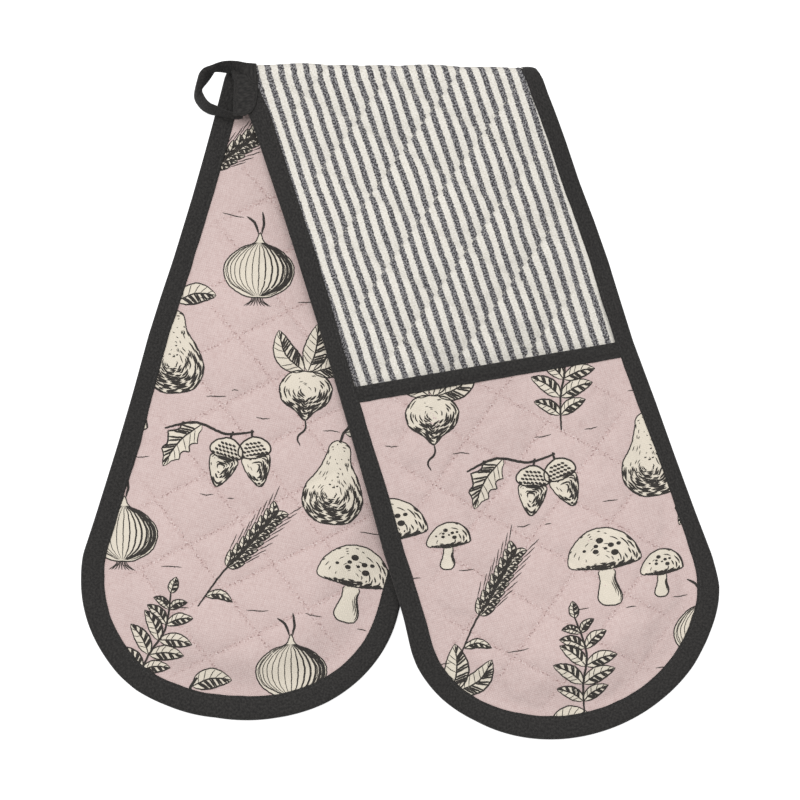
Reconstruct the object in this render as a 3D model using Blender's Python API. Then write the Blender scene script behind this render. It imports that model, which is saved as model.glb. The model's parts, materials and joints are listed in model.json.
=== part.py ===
"""Double oven glove, laid on a table with its strip folded over once.

The glove is one long quilted strip with a hand pocket at each round end, both on the lining side. The strip is
folded obliquely at its middle, lining outwards, so that the two ends point away from the fold like an inverted V.
The front leg lies on top, with its pocket up. The back leg lies under it, with its pocket on the table.

The glove is worked out in the fold's own frame: x runs along the fold, y points away from the legs, z is up and
zero on the table. The fold turns about the x axis at FOLD_AXIS_HEIGHT. An empty then turns the glove to its place
on the table and centres it.
"""
import math

import bmesh
import bpy
from mathutils import Matrix, Vector

# The strip, in metres
WAIST_WIDTH = 0.1764
FRONT_LENGTH = 0.412
FRONT_END_WIDTH = 0.188
FRONT_ROUND_END = 0.082
BACK_LENGTH = 0.398
BACK_END_WIDTH = 0.192
BACK_ROUND_END = 0.085

# How the strip lies: each leg's angle off the straight line away from the fold, the back leg's sideways drift at
# its tip, and the fold's own tilt on the table
FRONT_ANGLE = math.radians(18.7)
BACK_ANGLE = math.radians(-14.1)
FRONT_DRIFT = 0.0
BACK_DRIFT = -0.0092
FOLD_TILT = math.radians(-0.65)

# Cloth and wadding. A wadding half is half its thickness, at a quilting seam and at the middle of a diamond
FABRIC = 0.0006
PLY_GAP = 0.0003
STRIP_SEAM_HALF = 0.0005
STRIP_PUFF_HALF = 0.0024
POCKET_SEAM_HALF = 0.0004
POCKET_PUFF_HALF = 0.0019
HAND_ROOM = 0.0058
REST_CUT = 0.0005

# Quilting: diamonds between two sets of seams, seen from above
SEAM_SPACING = 0.033
FRONT_SEAM_ANGLES = (math.radians(55), math.radians(-29))
BACK_SEAM_ANGLES = (math.radians(27), math.radians(-52))
PILLOW_SHARE = 0.42

# Binding tape, folded over every edge
TAPE = 0.0006
EDGE_BINDING = 0.0126
MOUTH_BINDING = 0.0096
TAPE_ROUND = 0.0012
STATION_STEP = 0.018
ROUND_END_STATIONS = 18
MOUTH_STATIONS = 15

# Pocket mouths: how far down the leg's middle, and how far off square to the leg
MOUTH_DISTANCE = 0.182
FRONT_MOUTH_TILT = math.radians(8.3)
BACK_MOUTH_TILT = math.radians(0)

# The fold, and how the layers swell and drape away from the edges
FOLD_RADIUS = 0.0055
FOLD_STEPS = 12
FOLD_REACH = 0.030
SWELL_REACH = 0.030
DOME_REACH = 0.042
MOUTH_FADE = 0.025
RIM_LEAD = 0.046
RIM_RAMP = 0.026
RISE_LEAD = 0.085
DRAPE_HEIGHT = 0.0195
DRAPE_IN = 0.045
DRAPE_OUT = 0.070
DRAPE_START = 0.090
LIFT_START = 0.025
LIFT_END = 0.125

# Hanging loop of flat tape, sewn to the front leg beside the fold
LOOP_TAPE_WIDTH = 0.0130
LOOP_TAPE_THICKNESS = 0.0012
LOOP_REACH = 0.0300
LOOP_SPREAD = 0.0290
LOOP_ROOT_SETBACK = 0.0100
LOOP_STEPS = 3
TAB_WIDTH = 0.0140
TAB_LENGTH = 0.0205
TAB_SETBACK = 0.0020
LOOP_TURN = math.radians(9)

# The loop's route from its upper root to its lower one, as shares: how far left of the line through both roots, in
# LOOP_REACH, how far down that line from the upper root, in LOOP_SPREAD, how high above the table, in the height of
# the tab's middle, and the tape's lean off upright in right angles
LOOP_ROUTE_SHARES = (
    (0.03, 0.10, 1.17, 0.92),
    (0.25, 0.00, 1.15, 0.86),
    (0.52, -0.06, 1.08, 0.70),
    (0.80, -0.06, 0.88, 0.48),
    (0.97, 0.04, 0.66, 0.34),
    (1.03, 0.30, 0.52, 0.22),
    (1.02, 0.54, 0.47, 0.18),
    (0.91, 0.77, 0.50, 0.16),
    (0.71, 0.92, 0.68, 0.14),
    (0.45, 1.01, 0.78, 0.14),
    (0.20, 1.05, 0.80, 0.18),
    (0.06, 1.07, 0.82, 0.22),
)

# What follows from the sizes above
CLEARANCE = 0.0003
FLAT = 1e-5
NEARLY = 1e-4
WRAP = TAPE + CLEARANCE
CLOTH = PLY_GAP + FABRIC
STRIP_EDGE_HALF = STRIP_SEAM_HALF + CLOTH
POCKET_EDGE_HALF = POCKET_SEAM_HALF + CLOTH
EDGE_SETBACK = WRAP + CLEARANCE
EDGE_BAND = EDGE_BINDING + 2 * CLEARANCE
MOUTH_BAND = MOUTH_BINDING + 2 * CLEARANCE
FOLD_AXIS_HEIGHT = WRAP + STRIP_EDGE_HALF + FOLD_RADIUS
FOLD_LIFT = 2 * FOLD_RADIUS
FOLD_QUARTER = FOLD_RADIUS * math.pi / 2
STRIP_RIM = 2 * STRIP_EDGE_HALF
POCKET_RIM = STRIP_RIM + PLY_GAP + 2 * POCKET_EDGE_HALF
TAB_HEIGHT = FOLD_LIFT + 2 * WRAP + STRIP_RIM + CLEARANCE + LOOP_TAPE_THICKNESS / 2


def smooth(share):
    """Rises from 0 to 1 without a corner."""
    share = min(max(share, 0), 1)
    return share * share * (3 - 2 * share)


def mix(low, high, share):
    return low + (high - low) * share


class Leg:
    """One half of the strip. s runs down its middle line from the fold's axis, t to the right, seen from above."""

    def __init__(self, name, angle, drift, length, end_width, round_end, mouth_tilt, seam_angles):
        self.name = name
        self.angle = angle
        self.drift = drift
        self.length = length
        self.half_end = end_width / 2
        self.round_end = round_end
        self.side_length = length - round_end
        self.mouth_tilt = mouth_tilt
        self.seam_angles = seam_angles
        self.start = FOLD_QUARTER * math.tan(angle)

    def place(self, s, t):
        across = t + self.drift * (s / self.length) ** 2
        x = self.start + s * math.sin(self.angle) + across * math.cos(self.angle)
        y = across * math.sin(self.angle) - s * math.cos(self.angle)
        return Vector((x, y, 0))

    def measure(self, x, y):
        s = (x - self.start) * math.sin(self.angle) - y * math.cos(self.angle)
        across = (x - self.start) * math.cos(self.angle) + y * math.sin(self.angle)
        return s, across - self.drift * (s / self.length) ** 2

    def half_width(self, s):
        if s <= self.side_length:
            return mix(WAIST_WIDTH / 2, self.half_end, min(max(s / self.side_length, 0), 1))
        along = (s - self.side_length) / self.round_end
        return self.half_end * math.sqrt(max(1 - along * along, 0))

    def inside(self, x, y, right_only=False):
        """How far inside the strip's edge a point lies, or its right edge only."""
        s, t = self.measure(x, y)
        reach = t if right_only else abs(t)
        if s <= self.side_length:
            return self.half_width(s) - reach
        along = (s - self.side_length) / self.round_end
        return self.half_end * (1 - math.hypot(along, t / self.half_end))

    def past_mouth(self, x, y):
        """How far down the leg from the pocket's mouth a point lies."""
        s, t = self.measure(x, y)
        return (s - MOUTH_DISTANCE) * math.cos(self.mouth_tilt) - t * math.sin(self.mouth_tilt)

    def stations(self):
        """Points round the edge from the fold's left end to its right end, each with the direction inwards."""
        points = []
        for side in (-1, 1):
            s_fold = (CLEARANCE + side * WAIST_WIDTH / 2 * math.sin(self.angle)) / math.cos(self.angle)
            steps = math.ceil((self.side_length - s_fold) / STATION_STEP)
            line = [(mix(s_fold, self.side_length, k / steps), side) for k in range(steps + 1)]
            points += line if side < 0 else line[::-1]
            if side < 0:
                for k in range(1, ROUND_END_STATIONS):
                    turn = math.pi * k / ROUND_END_STATIONS
                    points.append((self.side_length + self.round_end * math.sin(turn), -math.cos(turn)))
        places = []
        for s, share in points:
            half = self.half_width(s) if s <= self.side_length else self.half_end
            places.append(self.place(s, half * share))
        result = []
        for k, point in enumerate(places):
            before = places[max(k - 1, 0)]
            after = places[min(k + 1, len(places) - 1)]
            run = (after - before).normalized()
            inwards = Vector((-run.y, run.x, 0))
            if k in (0, len(places) - 1):
                inwards = Vector((1 / inwards.x, 0, 0))
                point = Vector((point.x, -CLEARANCE, 0))
            result.append((point, inwards))
        return result


FRONT = Leg("front", FRONT_ANGLE, FRONT_DRIFT, FRONT_LENGTH, FRONT_END_WIDTH, FRONT_ROUND_END, FRONT_MOUTH_TILT,
            FRONT_SEAM_ANGLES)
BACK = Leg("back", BACK_ANGLE, BACK_DRIFT, BACK_LENGTH, BACK_END_WIDTH, BACK_ROUND_END, BACK_MOUTH_TILT,
           BACK_SEAM_ANGLES)


def lift(leg, x, y):
    """How high the front leg lies: over the fold's bend, then on the back leg, then down to the table."""
    if leg is BACK:
        return 0
    down = -y - CLEARANCE
    top = mix(FOLD_LIFT, DRAPE_HEIGHT, smooth((down - LIFT_START) / (LIFT_END - LIFT_START)))
    over = smooth((BACK.inside(x, y, right_only=True) + DRAPE_OUT) / (DRAPE_IN + DRAPE_OUT))
    return mix(FOLD_LIFT, top * over, smooth(down / DRAPE_START))


def rim_zone(leg, x, y):
    """0 where the edge holds the strip alone, 1 where it holds the pocket too."""
    return smooth((leg.past_mouth(x, y) + RIM_LEAD) / RIM_RAMP)


def mouth_seat(leg, x, y):
    """Room beside the mouth for its binding's underside, which ends between the strip and the pocket."""
    return WRAP * (1 - smooth((leg.past_mouth(x, y) - MOUTH_BAND) / MOUTH_FADE))


def rim_levels(leg, x, y):
    """Underside and top of the layers inside the edge binding."""
    low = WRAP + lift(leg, x, y)
    return low, low + mix(STRIP_RIM, POCKET_RIM + mouth_seat(leg, x, y), rim_zone(leg, x, y))


def swell(leg, x, y):
    """0 along the edge and the fold, 1 where the wadding is free to puff."""
    return smooth((leg.inside(x, y) - EDGE_BAND) / SWELL_REACH) * smooth((-y - CLEARANCE) / FOLD_REACH)


def dome(leg, x, y):
    return smooth((leg.inside(x, y) - EDGE_BAND) / DOME_REACH)


def strip_middle(leg, x, y):
    """Height of the middle of the strip's wadding."""
    low, high = rim_levels(leg, x, y)
    puffed = STRIP_PUFF_HALF + CLOTH - REST_CUT - WRAP - STRIP_EDGE_HALF
    if leg is FRONT:
        return low + STRIP_EDGE_HALF + puffed * swell(leg, x, y)
    rim = high - STRIP_EDGE_HALF
    over_hand = 2 * (POCKET_PUFF_HALF + CLOTH) - REST_CUT + HAND_ROOM + STRIP_PUFF_HALF + CLOTH
    at_pocket_rim = WRAP + POCKET_RIM - STRIP_EDGE_HALF
    rise = smooth((leg.past_mouth(x, y) + RISE_LEAD) / RISE_LEAD) * dome(leg, x, y)
    return rim + puffed * swell(leg, x, y) + (over_hand - at_pocket_rim - puffed) * rise


def pocket_middle(leg, x, y):
    """Height of the middle of the pocket's wadding."""
    low, high = rim_levels(leg, x, y)
    if leg is BACK:
        puffed = POCKET_PUFF_HALF + CLOTH - REST_CUT - WRAP - POCKET_EDGE_HALF
        return low + POCKET_EDGE_HALF + puffed * swell(leg, x, y)
    rim = low + POCKET_RIM + mouth_seat(leg, x, y) - POCKET_EDGE_HALF
    over_hand = low - WRAP - REST_CUT + 2 * (STRIP_PUFF_HALF + CLOTH) + HAND_ROOM + POCKET_PUFF_HALF + CLOTH
    return mix(rim, over_hand, dome(leg, x, y))


def crown(leg, x, y):
    """0 on a quilting seam, 1 in the middle of a diamond."""
    height = 1
    for angle in leg.seam_angles:
        across = y * math.cos(angle) - x * math.sin(angle)
        height *= abs(math.sin(math.pi * across / SEAM_SPACING))
    return math.sqrt(height)


def strip_half(leg, x, y):
    return mix(STRIP_SEAM_HALF, STRIP_PUFF_HALF, crown(leg, x, y) * swell(leg, x, y))


def pocket_half(leg, x, y):
    free = smooth((leg.past_mouth(x, y) - MOUTH_BAND) / SWELL_REACH)
    return mix(POCKET_SEAM_HALF, POCKET_PUFF_HALF, crown(leg, x, y) * swell(leg, x, y) * free)


def layer(middle, half, leg, side, depth):
    """A level that lies depth outside the wadding's face on one side, and never below the table."""
    def level(x, y):
        return max(middle(leg, x, y) + side * (half(leg, x, y) + depth), 0)
    return level


def material(name, colour, roughness):
    shader = bpy.data.materials.new(name)
    shader.diffuse_color = (*colour, 1)
    shader.use_nodes = True
    principled = shader.node_tree.nodes["Principled BSDF"]
    principled.inputs["Base Color"].default_value = (*colour, 1)
    principled.inputs["Roughness"].default_value = roughness
    principled.inputs["Metallic"].default_value = 0
    return shader


def add_object(name, mesh, finish, parent):
    mesh.materials.clear()
    mesh.materials.append(finish)
    item = bpy.data.objects.new(name, mesh)
    item.parent = parent
    bpy.context.scene.collection.objects.link(item)
    return item


def add_solid(name, bm, finish, parent):
    bmesh.ops.recalc_face_normals(bm, faces=bm.faces)
    for face in bm.faces:
        face.smooth = True
        face.material_index = 0
    mesh = bpy.data.meshes.new(name)
    bm.to_mesh(mesh)
    bm.free()
    mesh.set_sharp_from_angle(angle=math.radians(50))
    return add_object(name, mesh, finish, parent)


# A face's material index marks its part of the cut piece until the solid is made
IN_EDGE, IN_QUILT, IN_MOUTH = 0, 1, 2


def cut_across(bm, part, point, normal, **clear):
    faces = [face for face in bm.faces if part is None or face.material_index == part]
    edges = {edge for face in faces for edge in face.edges}
    verts = {vert for face in faces for vert in face.verts}
    bmesh.ops.bisect_plane(bm, geom=faces + list(edges) + list(verts), dist=CLEARANCE, plane_co=point,
                           plane_no=normal, **clear)


def band_facets(outer, inner):
    """The triangles of the plain band under the edge binding, which the binding's own facets follow."""
    for k in range(len(outer) - 1):
        yield outer[k], outer[k + 1], inner[k + 1]
        yield outer[k], inner[k + 1], inner[k]


def on_band(leg, level):
    """The same level, but straight across each facet of the band, so that nothing pokes through the binding."""
    stations = leg.stations()
    outer = [point + inwards * EDGE_SETBACK for point, inwards in stations]
    inner = [point + inwards * EDGE_BAND for point, inwards in stations]
    facets = [[Vector((corner.x, corner.y, level(corner.x, corner.y))) for corner in facet]
              for facet in band_facets(outer, inner)]

    def height(x, y):
        if leg.inside(x, y) < EDGE_BAND + CLEARANCE:
            for facet in facets:
                run, rise = facet[1] - facet[0], facet[2] - facet[0]
                area = run.x * rise.y - run.y * rise.x
                first = ((x - facet[0].x) * rise.y - (y - facet[0].y) * rise.x) / area
                second = ((y - facet[0].y) * run.x - (x - facet[0].x) * run.y) / area
                if min(first, second, 1 - first - second) > -NEARLY:
                    return facet[0].z + first * run.z + second * rise.z
        return level(x, y)
    return height


def cut_strip(leg):
    """The leg's flat pattern: a plain band under the edge binding, and the quilted field cut along its seams."""
    bm = bmesh.new()
    outer, inner = [], []
    for point, inwards in leg.stations():
        outer.append(bm.verts.new(point + inwards * EDGE_SETBACK))
        inner.append(bm.verts.new(point + inwards * EDGE_BAND))
    for facet in band_facets(outer, inner):
        bm.faces.new(facet)
    bm.faces.new(inner).material_index = IN_QUILT
    for angle in leg.seam_angles:
        normal = Vector((-math.sin(angle), math.cos(angle), 0))
        reach = [normal.dot(vert.co) / SEAM_SPACING for vert in inner]
        for k in range(math.ceil(min(reach)), math.floor(max(reach)) + 1):
            cut_across(bm, IN_QUILT, normal * k * SEAM_SPACING, normal)
    bmesh.ops.triangulate(bm, faces=[face for face in bm.faces if face.material_index == IN_EDGE])
    return bm


def mouth_line(leg, past=0.0, t=0.0):
    """A point on a line along the mouth, and the line's direction down the leg."""
    s = MOUTH_DISTANCE + past / math.cos(leg.mouth_tilt) + t * math.tan(leg.mouth_tilt)
    point = leg.place(s, t)
    lean = leg.angle + leg.mouth_tilt * -1
    return point, Vector((math.sin(lean), -math.cos(lean), 0))


def mouth_span(leg):
    """The mouth's two ends, just clear of the edge binding, measured across the leg."""
    ends = []
    for side in (-1, 1):
        t = 0
        for _ in range(40):
            s = MOUTH_DISTANCE + t * math.tan(leg.mouth_tilt)
            t = side * (leg.half_width(s) - EDGE_BAND - CLEARANCE - MOUTH_BAND * math.sin(abs(leg.mouth_tilt)))
        ends.append(t)
    return ends


def mouth_places(leg):
    left, right = mouth_span(leg)
    return [mix(left, right, k / MOUTH_STATIONS) for k in range(MOUTH_STATIONS + 1)]


def cut_pocket(leg, strip_pattern):
    """The pocket's flat pattern, cut from the strip's so that their seams agree."""
    bm = strip_pattern.copy()
    point, down = mouth_line(leg)
    cut_across(bm, None, point, down, clear_inner=True)
    point, down = mouth_line(leg, MOUTH_BAND)
    cut_across(bm, IN_QUILT, point, down)
    for face in bm.faces:
        middle = face.calc_center_median()
        if face.material_index == IN_QUILT and leg.past_mouth(middle.x, middle.y) < MOUTH_BAND:
            face.material_index = IN_MOUTH
    along = Vector((-down.y, down.x, 0))
    for t in mouth_places(leg)[1:-1]:
        cut_across(bm, IN_MOUTH, mouth_line(leg, 0, t)[0], along)
    bmesh.ops.triangulate(bm, faces=[face for face in bm.faces if face.material_index != IN_QUILT])
    return bm


def quilted_layer(name, leg, pattern, low, high, finish, parent, crowned=None, crowned_to=math.inf):
    """A closed layer of cloth or wadding between two levels.

    A crowned side has a full pillow on each diamond down to crowned_to past the mouth. A pillow never dips under the
    plain facets of the layer below.
    """
    bm = pattern.copy()
    bmesh.ops.solidify(bm, geom=bm.faces[:], thickness=FABRIC)
    bm.normal_update()
    sides = [vert.co.z for vert in bm.verts]
    split = (min(sides) + max(sides)) / 2
    cells = [face for face in bm.faces if face.material_index == IN_QUILT
             and abs(face.normal.z) > 0.5]
    pillows = []
    for face in cells:
        middle = face.calc_center_median()
        if crowned == (middle.z > split) and leg.past_mouth(middle.x, middle.y) < crowned_to:
            width = 2 * face.calc_area() / face.calc_perimeter()
            bmesh.ops.inset_individual(bm, faces=[face], thickness=PILLOW_SHARE * width, use_even_offset=True)
            pillows += face.verts
    pillow_set = set(pillows)
    centres = set(bmesh.ops.poke(bm, faces=cells)["verts"])
    heights = {True: on_band(leg, high), False: on_band(leg, low)}
    for vert in bm.verts:
        vert.co.z = heights[vert.co.z > split](vert.co.x, vert.co.y)
    for vert in pillows:
        ends = [edge.other_vert(vert) for edge in vert.link_edges]
        centre = next(end for end in ends if end in centres)
        corner = next(end for end in ends if end not in centres and end not in pillow_set)
        share = (vert.co - corner.co).xy.length / (centre.co - corner.co).xy.length
        straight = mix(corner.co.z, centre.co.z, share)
        vert.co.z = max(vert.co.z, straight) if crowned else min(vert.co.z, straight)
    return add_solid(name, bm, finish, parent)


def loft(name, sections, finish, parent, rising=()):
    """A closed body through matching sections. rising gives the sides whose faces are split from the first section's
    first point to the next section's second, as the cloth under a tape is. The other sides are split the other way.
    """
    bm = bmesh.new()
    rings = [[bm.verts.new(point) for point in section] for section in sections]
    for before, after in zip(rings, rings[1:]):
        for k, vert in enumerate(before):
            follow = (k + 1) % len(before)
            if k in rising:
                bm.faces.new((vert, before[follow], after[follow]))
                bm.faces.new((vert, after[follow], after[k]))
            else:
                bm.faces.new((vert, before[follow], after[k]))
                bm.faces.new((before[follow], after[follow], after[k]))
    bm.faces.new(rings[0][::-1])
    bm.faces.new(rings[-1])
    return add_solid(name, bm, finish, parent)


def tape_profile(width, low, high):
    """Section of a tape folded over an edge, as (distance in from the edge, height), lip to lip and back inside.

    low and high give the layers' own levels at a distance in from the edge.
    """
    return (
        (width, high(width) + WRAP),
        (TAPE_ROUND, high(TAPE_ROUND) + WRAP),
        (0, high(0) + WRAP - TAPE_ROUND / 2),
        (0, low(0) - WRAP + TAPE_ROUND / 2),
        (TAPE_ROUND, low(TAPE_ROUND) - WRAP),
        (width, low(width) - WRAP),
        (width, low(width) - CLEARANCE),
        (WRAP, low(WRAP) - CLEARANCE),
        (WRAP, high(WRAP) + CLEARANCE),
        (width, high(width) + CLEARANCE),
    )


def deepening(profile):
    """The profile's sides that run further in from the edge."""
    follow = (*profile[1:], profile[0])
    return [k for k in range(len(profile)) if follow[k][0] > profile[k][0]]


def edge_binding(leg, finish, parent):
    sections = []
    for point, inwards in leg.stations():
        def low(depth):
            return rim_levels(leg, *(point + inwards * depth).xy)[0]

        def high(depth):
            return rim_levels(leg, *(point + inwards * depth).xy)[1]
        profile = tape_profile(EDGE_BINDING, low, high)
        sections.append([point + inwards * depth + Vector((0, 0, z)) for depth, z in profile])
    return loft(f"{leg.name}_edge_binding", sections, finish, parent, deepening(profile))


def mouth_binding(leg, finish, parent):
    """Tape folded over the pocket's free edge. It stands out by its own wrap past the mouth line."""
    sections = []
    for t in mouth_places(leg):
        point, down = mouth_line(leg, -EDGE_SETBACK, t)

        def level(side):
            def height(depth):
                place = point + down * max(depth, EDGE_SETBACK)
                return pocket_middle(leg, place.x, place.y) + side * POCKET_EDGE_HALF
            return height
        profile = tape_profile(MOUTH_BINDING, level(-1), level(1))
        sections.append([point + down * depth + Vector((0, 0, z)) for depth, z in profile])
    return loft(f"{leg.name}_mouth_binding", sections, finish, parent, deepening(profile))


def fold_edge(turn, side, depth=0.0):
    """x of the strip's edge, or a depth inside it, at an angle round the fold: -90 degrees at the back leg."""
    leg = FRONT if turn > 0 else BACK
    share = (turn + math.pi / 2) / math.pi
    angle = mix(BACK.angle, FRONT.angle, share) if 0 < share < 1 else leg.angle
    along = FOLD_RADIUS * abs(turn) * math.tan(leg.angle)
    return along + side * (WAIST_WIDTH / 2 - depth) / math.cos(angle)


def fold_turns():
    return [math.pi * (k / FOLD_STEPS - 1 / 2) for k in range(FOLD_STEPS + 1)]


def around_fold(x, radius, turn):
    return Vector((x, radius * math.cos(turn), FOLD_AXIS_HEIGHT + radius * math.sin(turn)))


def fold_layer(name, inner, outer, finish, parent):
    """One layer's bend over the fold, between two radii."""
    sections = []
    for turn in fold_turns():
        left = fold_edge(turn, -1, EDGE_SETBACK + CLEARANCE)
        right = fold_edge(turn, 1, EDGE_SETBACK + CLEARANCE)
        corners = ((left, inner), (left, outer), (right, outer), (right, inner))
        sections.append([around_fold(x, radius, turn) for x, radius in corners])
    return loft(name, sections, finish, parent)


def fold_binding(name, side, finish, parent):
    """The edge binding's bend over one end of the fold."""
    profile = tape_profile(EDGE_BINDING, lambda depth: FOLD_RADIUS - STRIP_EDGE_HALF,
                           lambda depth: FOLD_RADIUS + STRIP_EDGE_HALF)
    sections = []
    for turn in fold_turns():
        sections.append([around_fold(fold_edge(turn, side, depth), radius, turn) for depth, radius in profile])
    return loft(name, sections, finish, parent)


def loop_frame():
    """The upper root of the hanging loop, and the directions down the line of roots and to its left."""
    point = FRONT.stations()[0][0] + Vector((LOOP_ROOT_SETBACK, 0, 0))
    down = Vector((-math.sin(LOOP_TURN), -math.cos(LOOP_TURN), 0))
    return point, down, Vector((down.y, -down.x, 0))


def through_points(points, steps):
    """A smooth curve through rows of numbers, with even steps between each two."""
    rows = [points[0], *points, points[-1]]
    result = []
    for k in range(len(points) - 1):
        p0, p1, p2, p3 = rows[k:k + 4]
        for step in range(steps):
            u = step / steps
            result.append([0.5 * (2 * b + (c - a) * u + (2 * a - 5 * b + 4 * c - d) * u * u
                                  + (3 * b - a - 3 * c + d) * u ** 3)
                           for a, b, c, d in zip(p0, p1, p2, p3)])
    result.append(list(points[-1]))
    return result


def hanging_loop(finish, parent):
    """Flat tape on a curve. Its tilt leans it off upright."""
    root, down, left = loop_frame()
    curve = bpy.data.curves.new("hanging_loop", "CURVE")
    curve.dimensions = "3D"
    curve.twist_mode = "Z_UP"
    curve.extrude = (LOOP_TAPE_WIDTH - LOOP_TAPE_THICKNESS) / 2
    curve.bevel_depth = LOOP_TAPE_THICKNESS / 2
    curve.bevel_resolution = 0
    curve.use_fill_caps = True
    route = through_points(LOOP_ROUTE_SHARES, LOOP_STEPS)
    spline = curve.splines.new("POLY")
    spline.points.add(len(route) - 1)
    for point, (reach, spread, height, lean) in zip(spline.points, route):
        place = root + left * reach * LOOP_REACH + down * spread * LOOP_SPREAD
        point.co = (place.x, place.y, height * TAB_HEIGHT, 1)
        point.tilt = lean * math.pi / 2
    curve.materials.append(finish)
    item = bpy.data.objects.new("hanging_loop", curve)
    item.parent = parent
    bpy.context.scene.collection.objects.link(item)
    return item


def loop_tab(finish, parent):
    """The loop's flat end, sewn to the front leg's edge binding."""
    root, down, left = loop_frame()
    bm = bmesh.new()
    bmesh.ops.create_cube(bm, size=1)
    bmesh.ops.scale(bm, vec=(TAB_WIDTH, TAB_LENGTH, LOOP_TAPE_THICKNESS), verts=bm.verts)
    bmesh.ops.bevel(bm, geom=[edge for edge in bm.edges if abs(edge.verts[0].co.z - edge.verts[1].co.z) > FLAT],
                    offset=LOOP_TAPE_THICKNESS, affect="EDGES", segments=2, profile=0.5, material=-1)
    middle = root + down * (TAB_SETBACK + TAB_LENGTH / 2)
    place = Matrix.Translation((middle.x, middle.y, TAB_HEIGHT)) @ Matrix.Rotation(-LOOP_TURN, 4, "Z")
    bm.transform(place)
    return add_solid("loop_tab", bm, finish, parent)


def layers(leg, print_finish, wadding_finish, lining_finish, parent):
    """The strip's and the pocket's three layers on one leg. The pocket is on the lining's side."""
    strip = cut_strip(leg)
    pocket = cut_pocket(leg, strip)
    lining_side = 1 if leg is FRONT else -1
    for prefix, pattern, middle, half, outer_side, in_sight in (
            ("", strip, strip_middle, strip_half, -lining_side, "outer" if leg is BACK else "lining"),
            ("pocket_", pocket, pocket_middle, pocket_half, lining_side, "outer")):
        def levels(side, inner, outer):
            pair = [layer(middle, half, leg, side, depth) for depth in (inner, outer)]
            return pair if side > 0 else pair[::-1]
        for cloth, finish, side in (("outer", print_finish, outer_side), ("lining", lining_finish, -outer_side)):
            low, high = levels(side, PLY_GAP, CLOTH)
            quilted_layer(f"{leg.name}_{prefix}{cloth}", leg, pattern, low, high, finish, parent,
                          side > 0 if cloth == in_sight else None,
                          -SEAM_SPACING / 2 if cloth == "lining" else math.inf)
        low = layer(middle, half, leg, -1, 0)
        high = layer(middle, half, leg, 1, 0)
        quilted_layer(f"{leg.name}_{prefix}wadding", leg, pattern, low, high, wadding_finish, parent)
    strip.free()
    pocket.free()


def box_of(items):
    """Lowest and highest corners of the finished objects."""
    bpy.context.view_layer.update()
    graph = bpy.context.evaluated_depsgraph_get()
    points = []
    for item in items:
        finished = item.evaluated_get(graph)
        mesh = finished.to_mesh()
        points += [item.matrix_world @ vert.co for vert in mesh.vertices]
        finished.to_mesh_clear()
    low = Vector(min(point[axis] for point in points) for axis in range(3))
    high = Vector(max(point[axis] for point in points) for axis in range(3))
    return low, high


def build():
    for item in list(bpy.data.objects):
        bpy.data.objects.remove(item, do_unlink=True)
    table = bpy.data.objects.new("laid_on_table", None)
    bpy.context.scene.collection.objects.link(table)
    table.rotation_euler.z = FOLD_TILT

    printed = material("printed_cotton", (0.66, 0.50, 0.47), 0.9)
    striped = material("striped_cotton", (0.45, 0.44, 0.43), 0.9)
    padding = material("cotton_wadding", (0.85, 0.84, 0.80), 0.95)
    tape = material("binding_tape", (0.040, 0.038, 0.036), 0.85)

    for leg in (BACK, FRONT):
        layers(leg, printed, padding, striped, table)
        mouth_binding(leg, tape, table)
        edge_binding(leg, tape, table)

    print_inner = FOLD_RADIUS - STRIP_EDGE_HALF
    wadding_inner = print_inner + CLOTH
    lining_inner = wadding_inner + 2 * STRIP_SEAM_HALF + PLY_GAP
    fold_layer("fold_outer", print_inner, print_inner + FABRIC, printed, table)
    fold_layer("fold_wadding", wadding_inner, wadding_inner + 2 * STRIP_SEAM_HALF, padding, table)
    fold_layer("fold_lining", lining_inner, lining_inner + FABRIC, striped, table)
    fold_binding("fold_binding_left", -1, tape, table)
    fold_binding("fold_binding_right", 1, tape, table)

    loop_tab(tape, table)
    hanging_loop(tape, table)

    low, high = box_of([item for item in bpy.data.objects if item.type != "EMPTY"])
    table.location = (-(low.x + high.x) / 2, -(low.y + high.y) / 2, -low.z)


build()
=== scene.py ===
"""The looks of a double oven glove, laid on a table with its strip folded over once.

Every piece is cloth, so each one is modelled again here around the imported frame: quilted plies, wadding, binding
tapes, the hanging loop, the thread, and the print. Like the frame, the glove is worked out in the fold's own frame
(x along the fold, y away from the legs, z up) and put in its place at the end. Sizes are in metres.
"""
import json
import math
import random

import bmesh
import bpy
from mathutils import Matrix, Vector, noise
from mathutils.bvhtree import BVHTree


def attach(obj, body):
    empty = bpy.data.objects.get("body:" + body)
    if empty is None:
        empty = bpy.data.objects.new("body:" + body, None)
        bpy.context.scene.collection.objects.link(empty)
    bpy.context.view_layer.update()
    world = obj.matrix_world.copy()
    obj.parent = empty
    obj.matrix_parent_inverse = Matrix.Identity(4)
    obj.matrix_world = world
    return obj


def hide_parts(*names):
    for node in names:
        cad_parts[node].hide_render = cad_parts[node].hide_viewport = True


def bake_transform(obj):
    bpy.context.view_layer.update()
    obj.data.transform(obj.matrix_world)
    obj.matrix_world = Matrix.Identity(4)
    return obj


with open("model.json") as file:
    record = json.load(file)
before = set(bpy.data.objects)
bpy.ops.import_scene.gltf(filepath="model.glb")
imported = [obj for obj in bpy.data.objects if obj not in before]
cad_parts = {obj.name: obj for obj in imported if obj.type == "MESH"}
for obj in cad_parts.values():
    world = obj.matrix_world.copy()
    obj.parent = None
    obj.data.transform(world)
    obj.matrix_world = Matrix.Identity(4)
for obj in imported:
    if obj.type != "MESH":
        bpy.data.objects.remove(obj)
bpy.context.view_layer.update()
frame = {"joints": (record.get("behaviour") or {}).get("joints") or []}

MM = 0.001

# The strip
WAIST_WIDTH = 0.1764

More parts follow.
